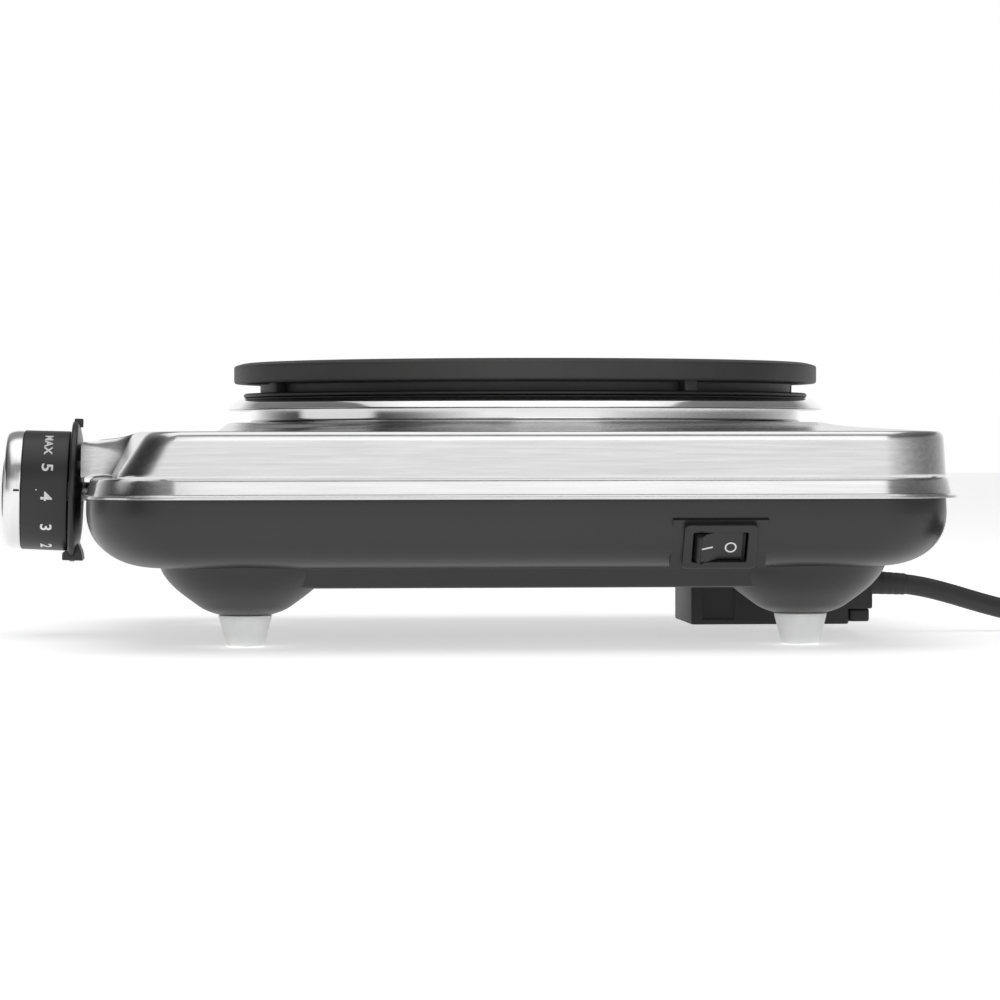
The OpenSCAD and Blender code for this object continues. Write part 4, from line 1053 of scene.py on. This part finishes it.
def makeRelief():
    # a tapered sleeve with shallow grooves that grow closer together towards its end
    r = relief
    hi = inMm("cord_box")[1]
    end, half = r["long"], r["long"] / 2
    at = half + 2.2 + (end - half - 4) * (np.linspace(0, 1, r["rings"]) ** 0.8)
    radius = lambda z: r["midR"] + (r["tipR"] - r["midR"]) * (z - half) / half
    grooves = np.concatenate([[[radius(z - 0.45), z - 0.45], [radius(z) - r["groove"], z - 0.2],
                               [radius(z) - r["groove"], z + 0.2],
                               [radius(z + 0.45), z + 0.45]] for z in at])
    profile = np.vstack([[[0, half - 6], [r["rootR"], half - 6], [r["rootR"], half + 0.2],
                          [r["midR"], half + 0.8]],
                         grooves, [[r["tipR"] + 0.02, end - 0.6], [r["tipR"] - 0.2, end - 0.1],
                                   [0, end - 0.1]]])
    place = np.array(Matrix.Translation((0, hi[1] - half,
                                         r["z"])) @ Matrix.Rotation(math.radians(-90 - r["tilt"]), 4, "X"))
    lathe("strainRelief", profile, mats["sheath"], turns=40, place=place, closed=False, slot="cord_rubber",
          replaces=("strain_relief",), uv=np.zeros((len(profile) * 40, 2)))


makeCordBox()
makeRelief()
print("cord box made")


# tie on the coil, and the plug
plug = {"at": (34, 199.8, 5.2), "heading": -98, "pitch": 17, "r": 18.5, "long": 57, "pinR": 2.38,
        "pinLong": 19,
        "pinGap": 19, "cuts": 6}


def makeTie():
    # a strap: a rounded rectangle just outside the coil's section, swept through a short arc of the coil
    a = np.radians(np.concatenate([[128], np.linspace(128, 141, 9), [141]]))
    c = cord
    mid = (c["outerTurn"] + c["innerTurn"]) / 2
    half = c["diameter"] + 0.85
    section = roundedBlock(half, half, 3.2, [[0, 0], [0.85, 0]], arc=8)
    wave = 0.06 * np.cos(np.linspace(0, 16 * math.pi, len(a)))[:, None]
    outer, inner = section[0], section[1]
    rings = []
    for layer, grow in ((outer, wave), (inner, 0 * wave)):
        r = mid + layer[None, :, 0] * (1 + grow / half)
        z = 7.05 + np.maximum(layer[None, :, 1] * (1 + grow / half), -7.0)
        rings.append(np.stack([c["coilCentre"][0] + r * np.cos(a)[:, None],
                               c["coilCentre"][1] + r * np.sin(a)[:, None],
                               z * np.ones_like(r)], -1))
    points = np.concatenate([rings[0], rings[1][::-1]])
    addPiece("coilTie", points, gridQuads(len(points), points.shape[1], closeRows=True), mats["tie"],
             slot="tie_black", weld=True, replaces=("coil_tie",))


def makePlug():
    p = plug
    place = Matrix.Translation(p["at"]) @ Matrix.Rotation(math.radians(p["heading"] + 90), 4, "Z")
    place = np.array(place @ Matrix.Rotation(math.radians(90 - p["pitch"]), 4, "Y"))
    r0 = cord["diameter"] / 2 + 0.3
    z = np.linspace(1.5, 15, p["cuts"] * 8 + 1)
    sleeve = np.stack([r0 + 1.3 * z / 15
                       - 0.35 * (0.5 + 0.5 * np.cos(z / 13.5 * p["cuts"] * 2 * math.pi)) ** 3, z], 1)
    r, end = p["r"], p["long"]
    body = rounded([[r0 + 1.6, 15.2], [7.5, 16.5], [8.6, 19], [10, 30], [13.5, 37], [r - 0.9, 42],
                    [r, 43.2],
                    [r, end - 0.9], [r - 1, end], [0, end]], [0, 1, 1.2, 5, 4, 1.2, 0.8, 0.6, 0.6, 0], 6)
    lathe("plugBody", np.vstack([[[0, 0], [r0, 0]], sleeve, body]), mats["plug"], turns=96, place=place,
          closed=False,
          slot="plug_black", replaces=("plug_body",))
    pin = rounded([[0, end - 3], [p["pinR"], end - 3], [p["pinR"], end + p["pinLong"] - 1.4],
                   [p["pinR"] - 1.2, end + p["pinLong"]], [0, end + p["pinLong"]]], [0, 0, 0.7, 0.6, 0], 6)
    blocks = [turnedBlock(pin, 32, (0, s * p["pinGap"] / 2)) for s in (-1, 1)]
    offset = len(blocks[0][0])
    addPiece("plugPins", np.vstack([b[0] for b in blocks]),
             np.vstack([blocks[0][1], blocks[1][1] + offset]),
             mats["nickel"], slot="pin_nickel", place=place, weld=True, replaces=("plug_pins",))


makeTie()
makePlug()


# spacer disc, and finishes for the pieces that stay as they came
def makeDisc():
    r1, r0 = (discHi[0] - discLo[0]) / 2, trim["inR"]
    z0, z1 = discLo[2], discHi[2]
    profile = rounded([[r0, z0], [r1 - 0.3, z0], [r1, z0 + 0.3], [r1, z1 - 0.4], [r1 - 0.5, z1], [r0, z1]],
                      [0, 0.1, 0.15, 0.2, 0.2, 0], 4)
    lathe("spacerDisc", profile, mats["disc"], turns=256, slot="black_disc", replaces=("spacer_disc",))


makeDisc()
inside = {
    "ceramic": ("ceramic_filler", "pin_insulators"), "wireCoil": ("heating_coils",),
    "zinc": ("heat_shield", "element_pins", "plate_stud", "support_bridge", "stud_washer", "stud_nut",
             "cover_posts",
             "foot_screws", "bezel_screws", "dial_clip", "thermostat_shaft", "thermostat_bracket",
             "earth_bolt",
             "cord_box_screws", "clamp_screws"),
    "phenolic": ("thermostat_body",), "brass": ("thermostat_tabs", "switch_tabs", "terminal_screws"),
    "nylon": ("terminal_block",), "wire": ("inner_leads",),
}
for finish, names in inside.items():
    for name in names:
        slots = nodes[name].material_slots
        if not slots:
            nodes[name].data.materials.append(mats[finish])
        for entry in slots:
            entry.material = mats[finish]
print("inner pieces finished")


# floor and light
def makeStage():
    mat, tree, shader = newMaterial("paleFloor", grey(0.93), 0.7, Emission_Color=(1, 1, 1, 1),
                                    Emission_Strength=0.55)
    slow = noise(tree, objectPlace(tree), 3, 2)
    tree.links.new(ramp(tree, slow, [(0.3, grey(0.92)), (0.7, grey(0.94))]), shader.inputs["Base Color"])
    x = np.linspace(-1, 1, 3) * 6000
    gx, gy = np.meshgrid(x, x, indexing="ij")
    points = np.stack([gx, gy, np.zeros_like(gx) - 0.05], -1)
    mesh = bpy.data.meshes.new("floor")
    mesh.from_pydata((points.reshape(-1, 3) * mm).tolist(), [], gridQuads(3, 3, closeCols=False).tolist())
    mesh.materials.append(mat)
    floor = bpy.data.objects.new("floor", mesh)
    bpy.context.scene.collection.objects.link(floor)


def areaLight(name, place, target, size, power):
    data = bpy.data.lights.new(name, "AREA")
    data.shape = "RECTANGLE"
    data.size, data.size_y = size
    data.energy = power
    lamp = bpy.data.objects.new(name, data)
    bpy.context.scene.collection.objects.link(lamp)
    lamp.location = place
    lamp.rotation_euler = (Vector(target) - Vector(place)).to_track_quat("-Z", "Y").to_euler()
    lamp.visible_camera = False


studio = {"front": 0.8, "frontBand": 0.06, "rear": 0.22, "shade": 0.28, "overhead": 0.7, "strength": 1.0}


def lightStage():
    # a white room that darkens towards both ends of the object and a little overhead
    world = bpy.data.worlds.new("studio")
    bpy.context.scene.world = world
    world.use_nodes = True
    tree = world.node_tree
    coords = tree.nodes.new("ShaderNodeTexCoord")
    parts = tree.nodes.new("ShaderNodeSeparateXYZ")
    tree.links.new(coords.outputs["Generated"], parts.inputs[0])
    sideways = spread(tree, parts.outputs["Y"], 0, 1)
    sideways.node.inputs["From Min"].default_value = -1
    white = grey(1)
    ends = ramp(tree, sideways, [(0.0, grey(studio["front"])), (0.025, grey(studio["front"])),
                                 (0.04, grey(studio["frontBand"])), (0.1, grey(studio["frontBand"] * 3)),
                                 (0.25, grey(0.75)), (0.33, white), (0.68, white), (0.84, grey(0.6)),
                                 (1.0, grey(studio["rear"]))])
    up = ramp(tree, parts.outputs["Z"], [(0.26, white), (0.4, grey(studio["shade"])),
                                         (0.82, grey(studio["shade"])),
                                         (0.95, grey(studio["overhead"]))])
    mix = node(tree, "ShaderNodeMix", data_type="RGBA", blend_type="MULTIPLY")
    mix.inputs["Factor"].default_value = 1
    tree.links.new(ends, mix.inputs[6])
    tree.links.new(up, mix.inputs[7])
    back = tree.nodes["Background"]
    tree.links.new(mix.outputs[2], back.inputs["Color"])
    back.inputs["Strength"].default_value = studio["strength"]
    areaLight("overhead", (0.1, 0, 1.3), (0, 0, 0), (1.6, 1.6), 5)
    areaLight("sideSoft", (1.5, 0.25, 0.75), (0, 0, 0.05), (1.0, 0.6), 2)
    bpy.context.scene.view_settings.view_transform = "Standard"


makeStage()
lightStage()
